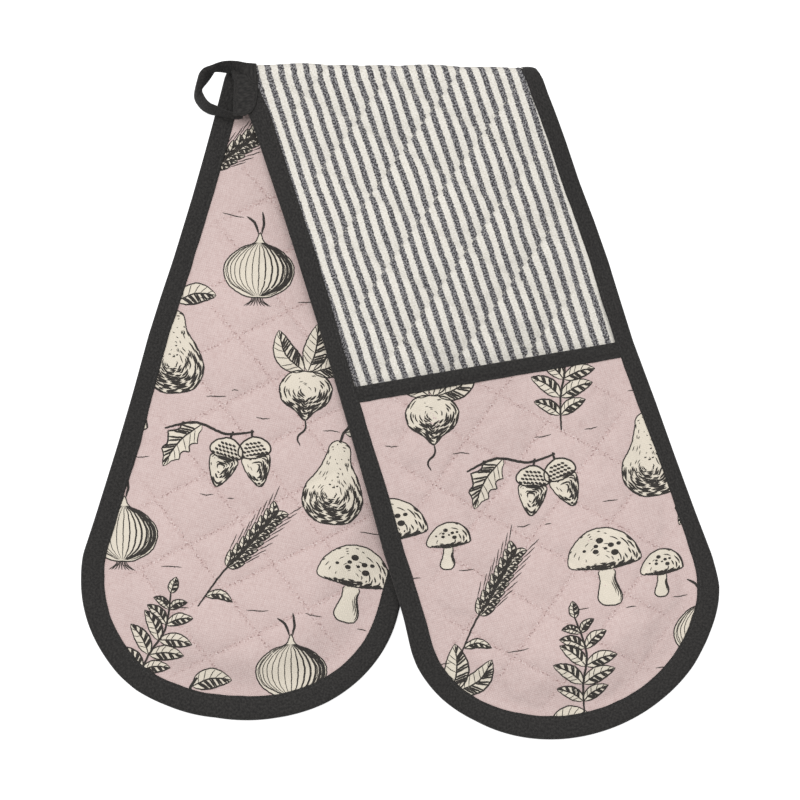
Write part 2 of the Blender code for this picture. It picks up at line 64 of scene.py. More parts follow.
# Cloth, wadding and tape
FABRIC = 0.0006
PLY_GAP = 0.0003
CLEARANCE = 0.0003
STRIP_SEAM_HALF = 0.0005
STRIP_PUFF_HALF = 0.0024
POCKET_SEAM_HALF = 0.0004
POCKET_PUFF_HALF = 0.0019
HAND_ROOM = 0.0058
REST_CUT = 0.0005
TAPE = 0.0006
EDGE_BINDING = 0.0126
MOUTH_BINDING = 0.0096

# Quilting
SEAM_SPACING = 0.033

# How far down a leg's middle line its pocket's mouth lies
MOUTH_DISTANCE = 0.182

# The fold, and how the layers swell and drape away from the edges
FOLD_RADIUS = 0.0055
FOLD_FULLNESS = 0.0006
FOLD_REACH = 0.030
SWELL_REACH = 0.030
DOME_REACH = 0.042
MOUTH_FADE = 0.025
RIM_LEAD = 0.046
RIM_RAMP = 0.026
RISE_LEAD = 0.085
DRAPE_HEIGHT = 0.0195
DRAPE_IN = 0.045
DRAPE_OUT = 0.070
DRAPE_START = 0.090
LIFT_START = 0.025
LIFT_END = 0.125

# What follows from the sizes above
WRAP = TAPE + CLEARANCE
CLOTH = PLY_GAP + FABRIC
STRIP_EDGE_HALF = STRIP_SEAM_HALF + CLOTH
POCKET_EDGE_HALF = POCKET_SEAM_HALF + CLOTH
EDGE_SETBACK = WRAP + CLEARANCE
EDGE_BAND = EDGE_BINDING + 2 * CLEARANCE
MOUTH_BAND = MOUTH_BINDING + 2 * CLEARANCE
FOLD_AXIS_HEIGHT = WRAP + STRIP_EDGE_HALF + FOLD_RADIUS
FOLD_LIFT = 2 * FOLD_RADIUS
FOLD_QUARTER = FOLD_RADIUS * math.pi / 2
STRIP_RIM = 2 * STRIP_EDGE_HALF
POCKET_RIM = STRIP_RIM + PLY_GAP + 2 * POCKET_EDGE_HALF

# The camera looks straight down
CAMERA_HEIGHT = 2.012
LENS = 150
SENSOR = 36
MID = Vector((0.0003, -0.0003, 0))

# The fold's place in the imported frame
joints = {joint["name"]: joint for joint in frame["joints"]}
fold_point = Vector(joints["fold"]["pos_m"])
fold_line = -Vector(joints["fold"]["axis"])
FOLD_PLACE = (Matrix.Translation((fold_point.x, fold_point.y, 0))
              @ Matrix.Rotation(math.atan2(fold_line.y, fold_line.x), 4, "Z"))


def smooth(share):
    """Rises from 0 to 1 without a corner."""
    share = min(max(share, 0), 1)
    return share * share * (3 - 2 * share)


def mix(low, high, share):
    return low + (high - low) * share


class Leg:
    """One half of the strip. s runs down its middle line from the fold's axis, t to the right, seen from above.

    The cloth that goes round the fold is laid out flat past the fold's line, up to y = FOLD_QUARTER. Angles are given
    in degrees.
    """

    def __init__(self, name, angle, drift, length, end_width, round_end, mouth_tilt, seam_angles):
        self.name = name
        self.body = name + "_leg"
        self.angle = math.radians(angle)
        self.drift = drift
        self.length = length
        self.half_end = end_width / 2
        self.round_end = round_end
        self.side_length = length - round_end
        self.mouth_tilt = math.radians(mouth_tilt)
        self.seam_angles = [math.radians(seam) for seam in seam_angles]
        self.seam_runs = [(math.cos(seam), math.sin(seam)) for seam in self.seam_angles]
        self.start = FOLD_QUARTER * math.tan(self.angle)
        self.cos, self.sin = math.cos(self.angle), math.sin(self.angle)
        lean = self.angle - self.mouth_tilt
        self.into_pocket = Vector((math.sin(lean), -math.cos(lean), 0))

    def place(self, s, t):
        across = t + self.drift * (s / self.length) ** 2
        return Vector((self.start + s * self.sin + across * self.cos, across * self.sin - s * self.cos, 0))

    def measure(self, x, y):
        s = (x - self.start) * self.sin - y * self.cos
        across = (x - self.start) * self.cos + y * self.sin
        return s, across - self.drift * (s / self.length) ** 2

    def half_width(self, s):
        if s <= self.side_length:
            return mix(WAIST_WIDTH / 2, self.half_end, min(max(s / self.side_length, 0), 1))
        along = (s - self.side_length) / self.round_end
        return self.half_end * math.sqrt(max(1 - along * along, 0))

    def inside(self, x, y, right_only=False):
        """How far inside the strip's edge a point lies, or its right edge only."""
        s, t = self.measure(x, y)
        reach = t if right_only else abs(t)
        if s <= self.side_length:
            return self.half_width(s) - reach
        along = (s - self.side_length) / self.round_end
        return self.half_end * (1 - math.hypot(along, t / self.half_end))

    def past_mouth(self, x, y):
        """How far down the leg from the pocket's mouth a point lies."""
        s, t = self.measure(x, y)
        return (s - MOUTH_DISTANCE) * math.cos(self.mouth_tilt) - t * math.sin(self.mouth_tilt)

    def seam_phase(self, x, y):
        """Where a point lies between the quilting seams of each set: a whole number is on a seam."""
        return [(y * cos - x * sin) / SEAM_SPACING for cos, sin in self.seam_runs]

    def from_seam(self, x, y):
        """How far from the nearest seam a point lies, as a share of the space between two."""
        return min(abs(phase - round(phase)) for phase in self.seam_phase(x, y))

    def at_phase(self, first, second):
        one, two = self.seam_angles
        turn = math.sin(two - one)
        x = SEAM_SPACING * (first * math.cos(two) - second * math.cos(one)) / turn
        y = SEAM_SPACING * (first * math.sin(two) - second * math.sin(one)) / turn
        return x, y


FRONT = Leg("front", angle=18.7, drift=0.0, length=0.412, end_width=0.188, round_end=0.082, mouth_tilt=8.3,
            seam_angles=(55, -29))
BACK = Leg("back", angle=-14.1, drift=-0.0092, length=0.398, end_width=0.192, round_end=0.085, mouth_tilt=0,
           seam_angles=(27, -52))


def lift(leg, x, y):
    """How high the front leg lies: over the fold's bend, then on the back leg, then down to the table."""
    if leg is BACK:
        return 0
    down = max(-y - CLEARANCE, 0)
    top = mix(FOLD_LIFT, DRAPE_HEIGHT, smooth((down - LIFT_START) / (LIFT_END - LIFT_START)))
    over = smooth((BACK.inside(x, y, right_only=True) + DRAPE_OUT) / (DRAPE_IN + DRAPE_OUT))
    return mix(FOLD_LIFT, top * over, smooth(down / DRAPE_START))


def rim_zone(leg, x, y):
    """0 where the edge holds the strip alone, 1 where it holds the pocket too."""
    return smooth((leg.past_mouth(x, y) + RIM_LEAD) / RIM_RAMP)


def mouth_seat(leg, x, y):
    """Room beside the mouth for its binding's underside, which ends between the strip and the pocket."""
    return WRAP * (1 - smooth((leg.past_mouth(x, y) - MOUTH_BAND) / MOUTH_FADE))


def rim_levels(leg, x, y):
    """Underside and top of the layers inside the edge binding."""
    low = WRAP + lift(leg, x, y)
    return low, low + mix(STRIP_RIM, POCKET_RIM + mouth_seat(leg, x, y), rim_zone(leg, x, y))


def from_edge(leg, x, y):
    return smooth((leg.inside(x, y) - EDGE_BAND) / SWELL_REACH)


def swell(leg, x, y):
    """0 along the edge and the fold, 1 where the wadding is free to puff."""
    return from_edge(leg, x, y) * smooth((-y - CLEARANCE) / FOLD_REACH)


def dome(leg, x, y):
    return smooth((leg.inside(x, y) - EDGE_BAND) / DOME_REACH)


def strip_middle(leg, x, y):
    """Height of the middle of the strip's wadding."""
    low, high = rim_levels(leg, x, y)
    puffed = STRIP_PUFF_HALF + CLOTH - REST_CUT - WRAP - STRIP_EDGE_HALF
    if leg is FRONT:
        return low + STRIP_EDGE_HALF + puffed * swell(leg, x, y)
    rim = high - STRIP_EDGE_HALF
    over_hand = 2 * (POCKET_PUFF_HALF + CLOTH) - REST_CUT + HAND_ROOM + STRIP_PUFF_HALF + CLOTH
    at_pocket_rim = WRAP + POCKET_RIM - STRIP_EDGE_HALF
    rise = smooth((leg.past_mouth(x, y) + RISE_LEAD) / RISE_LEAD) * dome(leg, x, y)
    return rim + puffed * swell(leg, x, y) + (over_hand - at_pocket_rim - puffed) * rise


def pocket_middle(leg, x, y):
    """Height of the middle of the pocket's wadding."""
    low, high = rim_levels(leg, x, y)
    if leg is BACK:
        puffed = POCKET_PUFF_HALF + CLOTH - REST_CUT - WRAP - POCKET_EDGE_HALF
        return low + POCKET_EDGE_HALF + puffed * swell(leg, x, y)
    rim = low + POCKET_RIM + mouth_seat(leg, x, y) - POCKET_EDGE_HALF
    over_hand = low - WRAP - REST_CUT + 2 * (STRIP_PUFF_HALF + CLOTH) + HAND_ROOM + POCKET_PUFF_HALF + CLOTH
    return mix(rim, over_hand, dome(leg, x, y))


# How a diamond of quilting stands up from its seams, and how the cloth puckers beside the stitches
PILLOW_POWER = 0.62
FOLD_PUFF_SHARE = 0.75
FOLD_BLEND = 0.012
PUCKER = 0.00022
PUCKER_LENGTH = 0.0052
PUCKER_REACH_SHARE = 0.16
RIPPLE = 0.0004
RIPPLE_LENGTH = 0.048


def crown(leg, x, y):
    """0 on a quilting seam, 1 in the middle of a diamond."""
    height = 1
    for phase in leg.seam_phase(x, y):
        height *= abs(math.sin(math.pi * phase))
    return height ** PILLOW_POWER


def relief(leg, x, y):
    """How far the strip's wadding stands up, 0 on a seam. It runs on round the fold, to the same line on each leg."""
    height = crown(leg, x, y)
    over = smooth((y + FOLD_BLEND) / (FOLD_BLEND + FOLD_QUARTER))
    if over:
        height = mix(height, crown(FRONT, x * leg.cos / FRONT.cos, FOLD_QUARTER), over)
    return height * from_edge(leg, x, y) * mix(FOLD_PUFF_SHARE, 1, smooth(-y / FOLD_REACH))


def strip_half(leg, x, y):
    return mix(STRIP_SEAM_HALF, STRIP_PUFF_HALF, relief(leg, x, y))


def pocket_half(leg, x, y):
    free = smooth((leg.past_mouth(x, y) - MOUTH_BAND) / SWELL_REACH)
    return mix(POCKET_SEAM_HALF, POCKET_PUFF_HALF, crown(leg, x, y) * swell(leg, x, y) * free)


def pucker(leg, x, y):
    """Small creases square to the stitch lines, and the slow ripple of cloth that has been washed and folded."""
    free = swell(leg, x, y)
    height = RIPPLE * noise.noise(Vector((x / RIPPLE_LENGTH, y / RIPPLE_LENGTH, len(leg.name))))
    for k, (phase, (cos, sin)) in enumerate(zip(leg.seam_phase(x, y), leg.seam_runs)):
        along = x * cos + y * sin
        away = abs(phase - round(phase))
        near = math.exp(-(away / PUCKER_REACH_SHARE) ** 2) * min(away / PUCKER_REACH_SHARE, 1)
        height += PUCKER * near * noise.noise(Vector((along / PUCKER_LENGTH, phase * 2, k + len(leg.name))))
    return free * height


def fold_turn(leg, y):
    """The angle round the fold of cloth that is laid out flat to y: 90 degrees at the front leg, 0 at the apex."""
    side = 1 if leg is FRONT else -1
    return side * (math.pi / 2 - y / FOLD_RADIUS)


# Sewing draws the strip out of its pattern's shape. Each row gives a distance down from the fold's line, then how far
# the left edge, the tape's left lip, its right lip and the right edge lie to the right, in millimetres
FOLD_DRAW = (-8, -2.4, -2.4, -0.4, -3.9)
DRAWN = {
    "front": (FOLD_DRAW, (0, -2.8, -2.8, 0, -3.0), (8, -2.6, -2.8, 0, -3.0), (20, -0.8, -0.8, 0.6, -2.4),
              (36, 0.3, -0.5, 0.8, -2.0), (60, 1.0, -0.3, 0.6, -2.0), (84, 1.8, 0.3, 1.4, -0.9),
              (108, 2.2, 1.0, 1.5, -0.7), (132, 2.3, 0.8, 0.2, -1.8), (156, 2.5, 0, -0.3, -2.6),
              (192, 2.2, 0, 0.3, -1.6), (222, 1.8, 0, 1.6, -1.3), (252, 1.2, 0.4, 2.0, -0.7),
              (282, 0, -0.6, 1.0, 0), (330, 0, 0, 0, 0)),
    "back": (FOLD_DRAW, (0, -4.4, -4.3, 0, -3.0), (20, -3.6, -4.2, 0, -2.0), (48, -2.9, -3.6, 0, 0),
             (72, -2.5, -3.3, 0, 0), (108, -2.5, -3.3, 0, 0), (132, -2.9, -3.2, 0, 0), (156, -3.0, -3.8, 0, 0),
             (192, -1.5, -2.3, 0, 0), (222, -0.7, -0.2, 0, 0), (275, 0, 0, 0, 0)),
}
# Round each end, a row gives degrees from the right, down and on to the left, then how far out the edge and the
# tape's lip lie, in millimetres
END_DRAWN = {
    "front": ((-20, 0.3, 0.3), (-14, 0.6, 0.4), (-10, 1.2, 0.5), (-6, 2.0, 0.5), (0, 1.9, 0.5), (5, 1.5, 0.3),
              (11, 0.9, 0), (19, 0.7, -0.3), (26, 1.0, -0.3), (45, 0.7, -0.3), (90, 0.7, -1.0), (110, 0.5, -1.1),
              (125, 0.2, 0), (140, 1.4, 1.0), (155, 2.0, 1.2), (180, 0.5, 0)),
    "back": ((0, 0, 0), (40, 0.7, -0.2), (55, 0.8, -0.8), (75, 0, -1.7), (90, 0, -2.3), (100, 0, -1.8),
             (110, 1.2, -0.6), (120, 2.1, 0), (133, 3.9, 1.9), (142, 3.9, 2.4), (150, 3.2, 1.4), (160, 2.6, 0.8),
             (170, 1.9, 0), (180, 1.1, -0.6), (188, 0.9, -0.6), (193, 0.1, -0.6), (205, 0, -0.6)),
}
DRAW_REACH = 0.045
END_LEAD = 0.03


def between_rows(rows, place):
    """The rest of a row at a place that is given in the rows' first column."""
    place = min(max(place, rows[0][0]), rows[-1][0])
    after = next(k for k in range(1, len(rows)) if rows[k][0] >= place)
    share = (place - rows[after - 1][0]) / (rows[after][0] - rows[after - 1][0])
    return [mix(a, b, share) for a, b in zip(rows[after - 1][1:], rows[after][1:])]


def drawn(leg, x, y):
    """How far a point of the sewn strip lies from its place in the pattern."""
    s, t = leg.measure(x, y)
    depth = leg.inside(x, y)
    inwards = min(max(depth / EDGE_BAND, 0), 1)
    left_edge, left_lip, right_lip, right_edge = between_rows(DRAWN[leg.name], -y / MM)
    sideways = mix(left_edge, left_lip, inwards) if t < 0 else mix(right_edge, right_lip, inwards)
    spoke = Vector((x, y, 0)) - leg.place(leg.side_length, 0)
    turn = (math.degrees(math.atan2(-spoke.y, spoke.x)) + 90) % 360 - 90
    edge, lip = between_rows(END_DRAWN[leg.name], turn)
    outwards = mix(edge, lip, inwards) * smooth((s - leg.side_length) / END_LEAD + 1)
    fade = 1 - smooth((depth - EDGE_BAND) / DRAW_REACH)
    return (Vector((sideways, 0, 0)) + spoke.normalized() * outwards) * fade * MM


def bent(leg, point, fullness=0.0):
    """A point of the laid-out leg as it is sewn, with the cloth past the fold's line bent round the fold."""
    x, y, z = point
    move = drawn(leg, x, y)
    if y <= 0:
        return Vector((x, y, z)) + move
    turn = fold_turn(leg, y)
    middle = (FOLD_QUARTER - y) * math.tan(leg.angle)
    slant = mix(1 / BACK.cos, 1 / FRONT.cos, turn / math.pi + 1 / 2)
    x = middle + (x - middle) * leg.cos * slant
    radius = abs(z - FOLD_AXIS_HEIGHT) + fullness * math.cos(turn) ** 2
    return Vector((x + move.x, radius * math.cos(turn), FOLD_AXIS_HEIGHT + radius * math.sin(turn)))


# Materials

def colour(code):
    """A hex sRGB colour as linear values."""
    shares = [int(code[k:k + 2], 16) / 255 for k in (1, 3, 5)]
    linear = [c / 12.92 if c <= 0.04045 else ((c + 0.055) / 1.055) ** 2.4 for c in shares]
    return (*linear, 1)


def add(tree, kind, inputs=None, **settings):
    """Adds a node with its settings. inputs gives each socket a value, or another node's output to link."""
    item = tree.nodes.new(kind)
    for name, value in settings.items():
        setattr(item, name, value)
    for socket, value in (inputs or {}).items():
        if isinstance(value, bpy.types.NodeSocket):
            tree.links.new(value, item.inputs[socket])
        else:
            item.inputs[socket].default_value = value
    return item


def blank_material(name):
    material = bpy.data.materials.new(name)
    material.use_nodes = True
    tree = material.node_tree
    tree.nodes.clear()
    shader = add(tree, "ShaderNodeBsdfPrincipled", {"IOR": 1.5, "Metallic": 0})
    output = add(tree, "ShaderNodeOutputMaterial", {"Surface": shader.outputs[0]})
    output.is_active_output = True
    return material, tree, shader


def blended(tree, low, high, share):
    """The colour between two colours, each a value or an output."""
    return add(tree, "ShaderNodeMix", {0: share, 6: low, 7: high}, data_type="RGBA").outputs[2]


def math_of(tree, operation, *values):
    return add(tree, "ShaderNodeMath", dict(enumerate(values)), operation=operation).outputs[0]


def tinted(tree, base, code, share, most):
    """A colour moved towards another by a share of the most that it may move."""
    return blended(tree, base, colour(code), math_of(tree, "MULTIPLY", share, most))


def noise_of(tree, vector, scale, detail=1, roughness=0.5):
    sockets = {"Vector": vector, "Scale": scale, "Detail": detail, "Roughness": roughness}
    return add(tree, "ShaderNodeTexNoise", sockets).outputs["Fac"]


def ramp(tree, value, low, high, start=0, end=1):
    """The start value up to one reading, the end value from another on."""
    sockets = {"Value": value, "From Min": low, "From Max": high, "To Min": start, "To Max": end}
    return add(tree, "ShaderNodeMapRange", sockets).outputs[0]


def set_face(tree, shader, base, roughness, height=None, strength=0, depth=0, specular=0.5, sheen=(0, 0.5)):
    """Gives a material its colour, its gloss and its bump. sheen is a weight and a roughness."""
    tree.links.new(base, shader.inputs["Base Color"])
    if height is not None:
        bump = add(tree, "ShaderNodeBump", {"Height": height, "Strength": strength, "Distance": depth})
        tree.links.new(bump.outputs[0], shader.inputs["Normal"])
    values = {"Roughness": roughness, "Specular IOR Level": specular, "Sheen Weight": sheen[0],
              "Sheen Roughness": sheen[1]}
    for socket, value in values.items():
        shader.inputs[socket].default_value = value


# Threads of the plain weave are 0.35 mm apart, too fine to show from two metres, so they are drawn 1.2 mm apart
WEAVE_PITCH = 1.2 * MM
WAVE_SCALE = math.pi / 10


def plain_weave(tree, vector):
    """Height of a plain weave: warp and weft threads that pass over each other in turn."""
    wobble = add(tree, "ShaderNodeTexNoise", {"Vector": vector, "Scale": 0.25 / WEAVE_PITCH, "Detail": 2})
    moved = add(tree, "ShaderNodeMapRange", {"Vector": wobble.outputs["Color"], 7: (0, 0, 0), 8: (1, 1, 1),
                                             9: (-0.35 * WEAVE_PITCH,) * 3, 10: (0.35 * WEAVE_PITCH,) * 3},
                data_type="FLOAT_VECTOR")
    place = add(tree, "ShaderNodeVectorMath", {0: vector, 1: moved.outputs["Vector"]}, operation="ADD").outputs[0]
    warp, weft = (add(tree, "ShaderNodeTexWave", {"Vector": place, "Scale": WAVE_SCALE / WEAVE_PITCH},
                      bands_direction=axis).outputs["Color"] for axis in "XY")
    over = add(tree, "ShaderNodeTexChecker", {"Vector": place, "Scale": 1 / WEAVE_PITCH})
    return blended(tree, warp, weft, over.outputs["Fac"])


# Thick places in the yarn, seen as short streaks along the warp and along the weft
SLUB_WIDTH = 0.9 * MM
SLUB_LENGTH = 5 * MM


def slubs(tree, vector, across, along):
    """1 in the streaks of one set of threads."""
    scaled = add(tree, "ShaderNodeMapping", {"Vector": vector, "Scale": (1 / across, 1 / along, 1)}).outputs[0]
    return ramp(tree, noise_of(tree, scaled, 1), 0.45, 0.72)


def cloth_place(tree):
    return add(tree, "ShaderNodeUVMap", uv_map="cloth").outputs[0]


# The crease value, by which the materials paint shade and highlights along the stitch lines
def crease_shade_mask(tree):
    return add(tree, "ShaderNodeAttribute", attribute_name="crease").outputs["Fac"]


# Painted light and shade along the seams, where the stitches pull at the weave: light dots are painted highlights on
# the puckers, and dark dots are painted shade in the needle holes. Each row gives the colour, place in the noise, the
# noise's level where they start, and the most that they cover
SEAM_SHADE_AND_HIGHLIGHT_DOTS = (("#F1E6E2", 0.0, 0.60, 0.5), ("#846361", 0.37, 0.61, 0.75))


def printed_cotton():
    """Plain-woven cotton, dyed a dusty pink. It gives the eye a matt, slightly mottled face with a fine grain."""
    material, tree, shader = blank_material("pink_printed_cotton")
    vector = cloth_place(tree)
    weave = plain_weave(tree, vector)
    base = blended(tree, colour("#DDC8C4"), colour("#D0B9B5"), noise_of(tree, vector, 70, 3))
    base = tinted(tree, base, "#EEE1DD", noise_of(tree, vector, 1 / (1.3 * MM)), 0.34)
    for sides in ((SLUB_WIDTH, SLUB_LENGTH), (SLUB_LENGTH, SLUB_WIDTH)):
        base = tinted(tree, base, "#BC9F9B", slubs(tree, vector, *sides), 0.30)
    base = blended(tree, colour("#BFA5A1"), base, math_of(tree, "MULTIPLY_ADD", weave, 0.45, 0.62))
    # Painted shade: the pink is darkened along the stitch lines' creases, and painted highlight and shade dots lie on
    # them
    crease = crease_shade_mask(tree)
    base = tinted(tree, base, "#B48F8B", crease, 0.20)
    for code, offset, low, most in SEAM_SHADE_AND_HIGHLIGHT_DOTS:
        moved = add(tree, "ShaderNodeMapping", {"Vector": vector, "Location": (offset, offset, 0)}).outputs[0]
        dot = ramp(tree, noise_of(tree, moved, 1 / (1.2 * MM), 0), low, low + 0.05)
        base = tinted(tree, base, code, math_of(tree, "MULTIPLY", crease, dot), most)
    set_face(tree, shader, base, 0.92, weave, 0.35, 0.3 * MM, specular=0.2, sheen=(0.12, 0.6))
    return material


STRIPE_PITCH = 7.2 * MM
STRIPE_START = 2.4 * MM
STRIPE_SHARE = 0.48
STRIPE_SOFTNESS = 0.03
RAGGED = 0.9 * MM


def striped_cotton():
    """Woven ticking. Its charcoal warp stripes have cream weft showing through, like salt and pepper."""
    material, tree, shader = blank_material("striped_ticking")
    vector = cloth_place(tree)
    weave = plain_weave(tree, vector)
    parts = add(tree, "ShaderNodeSeparateXYZ", {0: vector})
    rag = noise_of(tree, vector, 1 / (0.9 * MM))
    across = math_of(tree, "ADD", parts.outputs[0],
                     math_of(tree, "MULTIPLY_ADD", rag, 2 * RAGGED, -RAGGED - STRIPE_START))
    share = math_of(tree, "PINGPONG", math_of(tree, "DIVIDE", across, STRIPE_PITCH), 0.5)
    edge = STRIPE_SHARE / 2
    stripe = ramp(tree, share, edge - STRIPE_SOFTNESS, edge + STRIPE_SOFTNESS, 1, 0)
    salt = ramp(tree, noise_of(tree, vector, 1 / (0.95 * MM), 0), 0.44, 0.60)
    dark = tinted(tree, colour("#38373A"), "#A6A4A5", salt, 0.85)
    dark = tinted(tree, dark, "#6F6D70", weave, 0.2)
    fibre = ramp(tree, noise_of(tree, vector, 1 / (1.0 * MM)), 0.38, 0.66)
    cream = blended(tree, colour("#EFEBE3"), colour("#DCD7CC"), fibre)
    # Painted shade: the ticking is darkened along the stitch lines' creases
    base = tinted(tree, blended(tree, cream, dark, stripe), "#8C8880", crease_shade_mask(tree), 0.12)
    set_face(tree, shader, base, 0.9, weave, 0.4, 0.3 * MM, specular=0.2)
    return material


TWILL_PITCH = 1.0 * MM
TWILL_SLANT = math.radians(52)


def binding_tape():
    """Charcoal cotton twill. Its diagonal lines and dusty fibres lift the near-black a little."""
    material, tree, shader = blank_material("charcoal_twill")
    vector = cloth_place(tree)
    turned = add(tree, "ShaderNodeMapping", {"Vector": vector, "Rotation": (0, 0, TWILL_SLANT)})
    twill = add(tree, "ShaderNodeTexWave", {"Vector": turned.outputs[0], "Scale": WAVE_SCALE / TWILL_PITCH,
                                            "Distortion": 1.2, "Detail": 2, "Detail Scale": 2}).outputs["Fac"]
    speck = ramp(tree, noise_of(tree, vector, 1 / (1.3 * MM)), 0.35, 0.75)
    base = blended(tree, colour("#1F1E1E"), colour("#2D2C2B"), noise_of(tree, vector, 160, 4, 0.6))
    base = tinted(tree, base, "#343333", twill, 0.3)
    base = tinted(tree, base, "#4F4D4B", speck, 0.42)
    set_face(tree, shader, base, 0.85, twill, 0.3, 0.2 * MM, specular=0.12, sheen=(0.06, 0.5))
    return material


def cotton_wadding():
    """Undyed carded cotton. It is off-white and looks felted, with soft lumps."""
    material, tree, shader = blank_material("cotton_wadding")
    fluff = noise_of(tree, cloth_place(tree), 400, 6, 0.7)
    base = blended(tree, colour("#EDEBE4"), colour("#CFCABD"), fluff)
    set_face(tree, shader, base, 1, fluff, 0.6, 0.6 * MM)
    return material


def sewing_thread(name, light, dark):
    """Spun polyester thread. Fine plies across it catch the light."""
    material, tree, shader = blank_material(name)
    place = add(tree, "ShaderNodeTexCoord").outputs["Object"]
    base = blended(tree, colour(light), colour(dark), noise_of(tree, place, 1 / (0.8 * MM), 2))
    set_face(tree, shader, base, 0.7, sheen=(0.2, 0.5))
    return material


def print_ink(name, light, dark, gap, gap_share):
    """Pigment printed on the cloth. It lies in the weave, so threads show through it in places."""
    material, tree, shader = blank_material(name)
    vector = cloth_place(tree)
    weave = plain_weave(tree, vector)
    patch = noise_of(tree, vector, 1 / (1.1 * MM), 3, 0.7)
    base = tinted(tree, blended(tree, colour(dark), colour(light), patch), gap, ramp(tree, patch, 0.58, 0.78),
                  gap_share)
    base = tinted(tree, base, dark, weave, 0.2)
    set_face(tree, shader, base, 0.9, weave, 0.35, 0.3 * MM, specular=0.2)
    return material


# Meshes

def mesh_of(name, bm):
    mesh = bpy.data.meshes.new(name)
    bm.to_mesh(mesh)
    bm.free()
    return mesh


def linked(name, data):
    """A new object, put into the scene."""
    item = bpy.data.objects.new(name, data)
    bpy.context.scene.collection.objects.link(item)
    return item


def add_piece(name, bm, finish, body):
    """Turns a mesh in the fold's frame into a named piece that rides on a body."""
    for face in bm.faces:
        face.smooth = True
    bm.transform(FOLD_PLACE)
    item = linked(name, mesh_of(name, bm))
    item.data.materials.append(finish)
    if body:
        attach(item, body)
    return item


def thicken(item, thickness):
    shell = item.modifiers.new("cloth", "SOLIDIFY")
    shell.thickness = thickness
    shell.offset = -1
    shell.use_even_offset = False


def over_the_fold(item, leg):
    """Bakes the piece's place into its mesh. The start and end of the leg's half of the fold, which meets the other
    leg's half at the apex, are worked out but not used.
    """
    start, end = FOLD_PLACE @ Vector((0, 0, 0)), FOLD_PLACE @ Vector((0, 2 * FOLD_RADIUS, 0))
    if leg is FRONT:
        start, end = end, start
    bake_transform(item)


def cut(bm, point, normal, dist=CLEARANCE / 10, **clear):
    geometry = bm.verts[:] + bm.edges[:] + bm.faces[:]
    bmesh.ops.bisect_plane(bm, geom=geometry, dist=dist, plane_co=point, plane_no=normal, **clear)


FOLD_CUTS = 7
SNAP_ROUNDS = 3
SLOPE_STEP = 0.0005
LEAST_SLOPE = 0.01
CORNER_CELLS = 1.5


def way_in(leg, x, y):
    """The direction in from the strip's edge, and how fast the distance grows that way."""
    step = SLOPE_STEP
    return Vector((leg.inside(x + step, y) - leg.inside(x - step, y),
                   leg.inside(x, y + step) - leg.inside(x, y - step))) / (2 * step)


def flat_pattern(leg, cells, pocket):
    """The leg's cloth laid out flat, as a grid that runs along both sets of seams, trimmed to its outline."""
    outline = [leg.place(s, side * leg.half_width(s)) for side in (-1, 1)
               for s in (-FOLD_QUARTER * 2, leg.side_length, leg.length)]
    outline += [leg.place(leg.length, side * leg.half_end) for side in (-1, 1)]
    phases = [leg.seam_phase(point.x, point.y) for point in outline]
    lows = [math.floor(min(phase[k] for phase in phases)) for k in (0, 1)]
    highs = [math.ceil(max(phase[k] for phase in phases)) for k in (0, 1)]
    counts = [(highs[k] - lows[k]) * cells for k in (0, 1)]
    bm = bmesh.new()
    bmesh.ops.create_grid(bm, x_segments=counts[0], y_segments=counts[1], size=1)
    for vert in bm.verts:
        first, second = (mix(lows[k], highs[k], (vert.co[k] + 1) / 2) for k in (0, 1))
        vert.co.x, vert.co.y = leg.at_phase(first, second)
    past = [vert for vert in bm.verts if leg.inside(vert.co.x, vert.co.y) < EDGE_SETBACK
            or vert.co.y > FOLD_QUARTER + SEAM_SPACING]
    bmesh.ops.delete(bm, geom=past, context="VERTS")
    if pocket:
        end, normal = leg.place(MOUTH_DISTANCE, 0), leg.into_pocket
        cut(bm, end, normal, clear_inner=True)
    else:
        end, normal = Vector((0, FOLD_QUARTER, 0)), Vector((0, 1, 0))
        for k in range(FOLD_CUTS + 1):
            cut(bm, Vector((0, FOLD_QUARTER * k / FOLD_CUTS, 0)), normal, clear_outer=k == FOLD_CUTS)
    for _ in range(SNAP_ROUNDS):
        for vert in bm.verts:
            if vert.is_boundary:
                run = way_in(leg, vert.co.x, vert.co.y)
                depth = leg.inside(vert.co.x, vert.co.y) - EDGE_SETBACK
                on_end = abs((vert.co - end).dot(normal)) < CLEARANCE / 3
                if on_end and depth > SEAM_SPACING / cells * CORNER_CELLS:
                    continue
                if on_end:
                    along = Vector((-normal.y, normal.x))
                    run = along * run.dot(along)
                vert.co.xy -= run * depth / max(run.length_squared, LEAST_SLOPE)
    if bm.faces and bm.faces[:][0].normal.z < 0:
        bmesh.ops.reverse_faces(bm, faces=bm.faces)
    return bm


# The stripes' sideways jogs at the two sets of quilting seams, where the cloth is drawn in, and their slow wander
STRIPE_JOGS = (1.0 * MM, -0.3 * MM)
JOG_POWER = 1.8
JOG_NOISE = 1.37
WANDER = 0.7 * MM
WANDER_LENGTH = 24 * MM


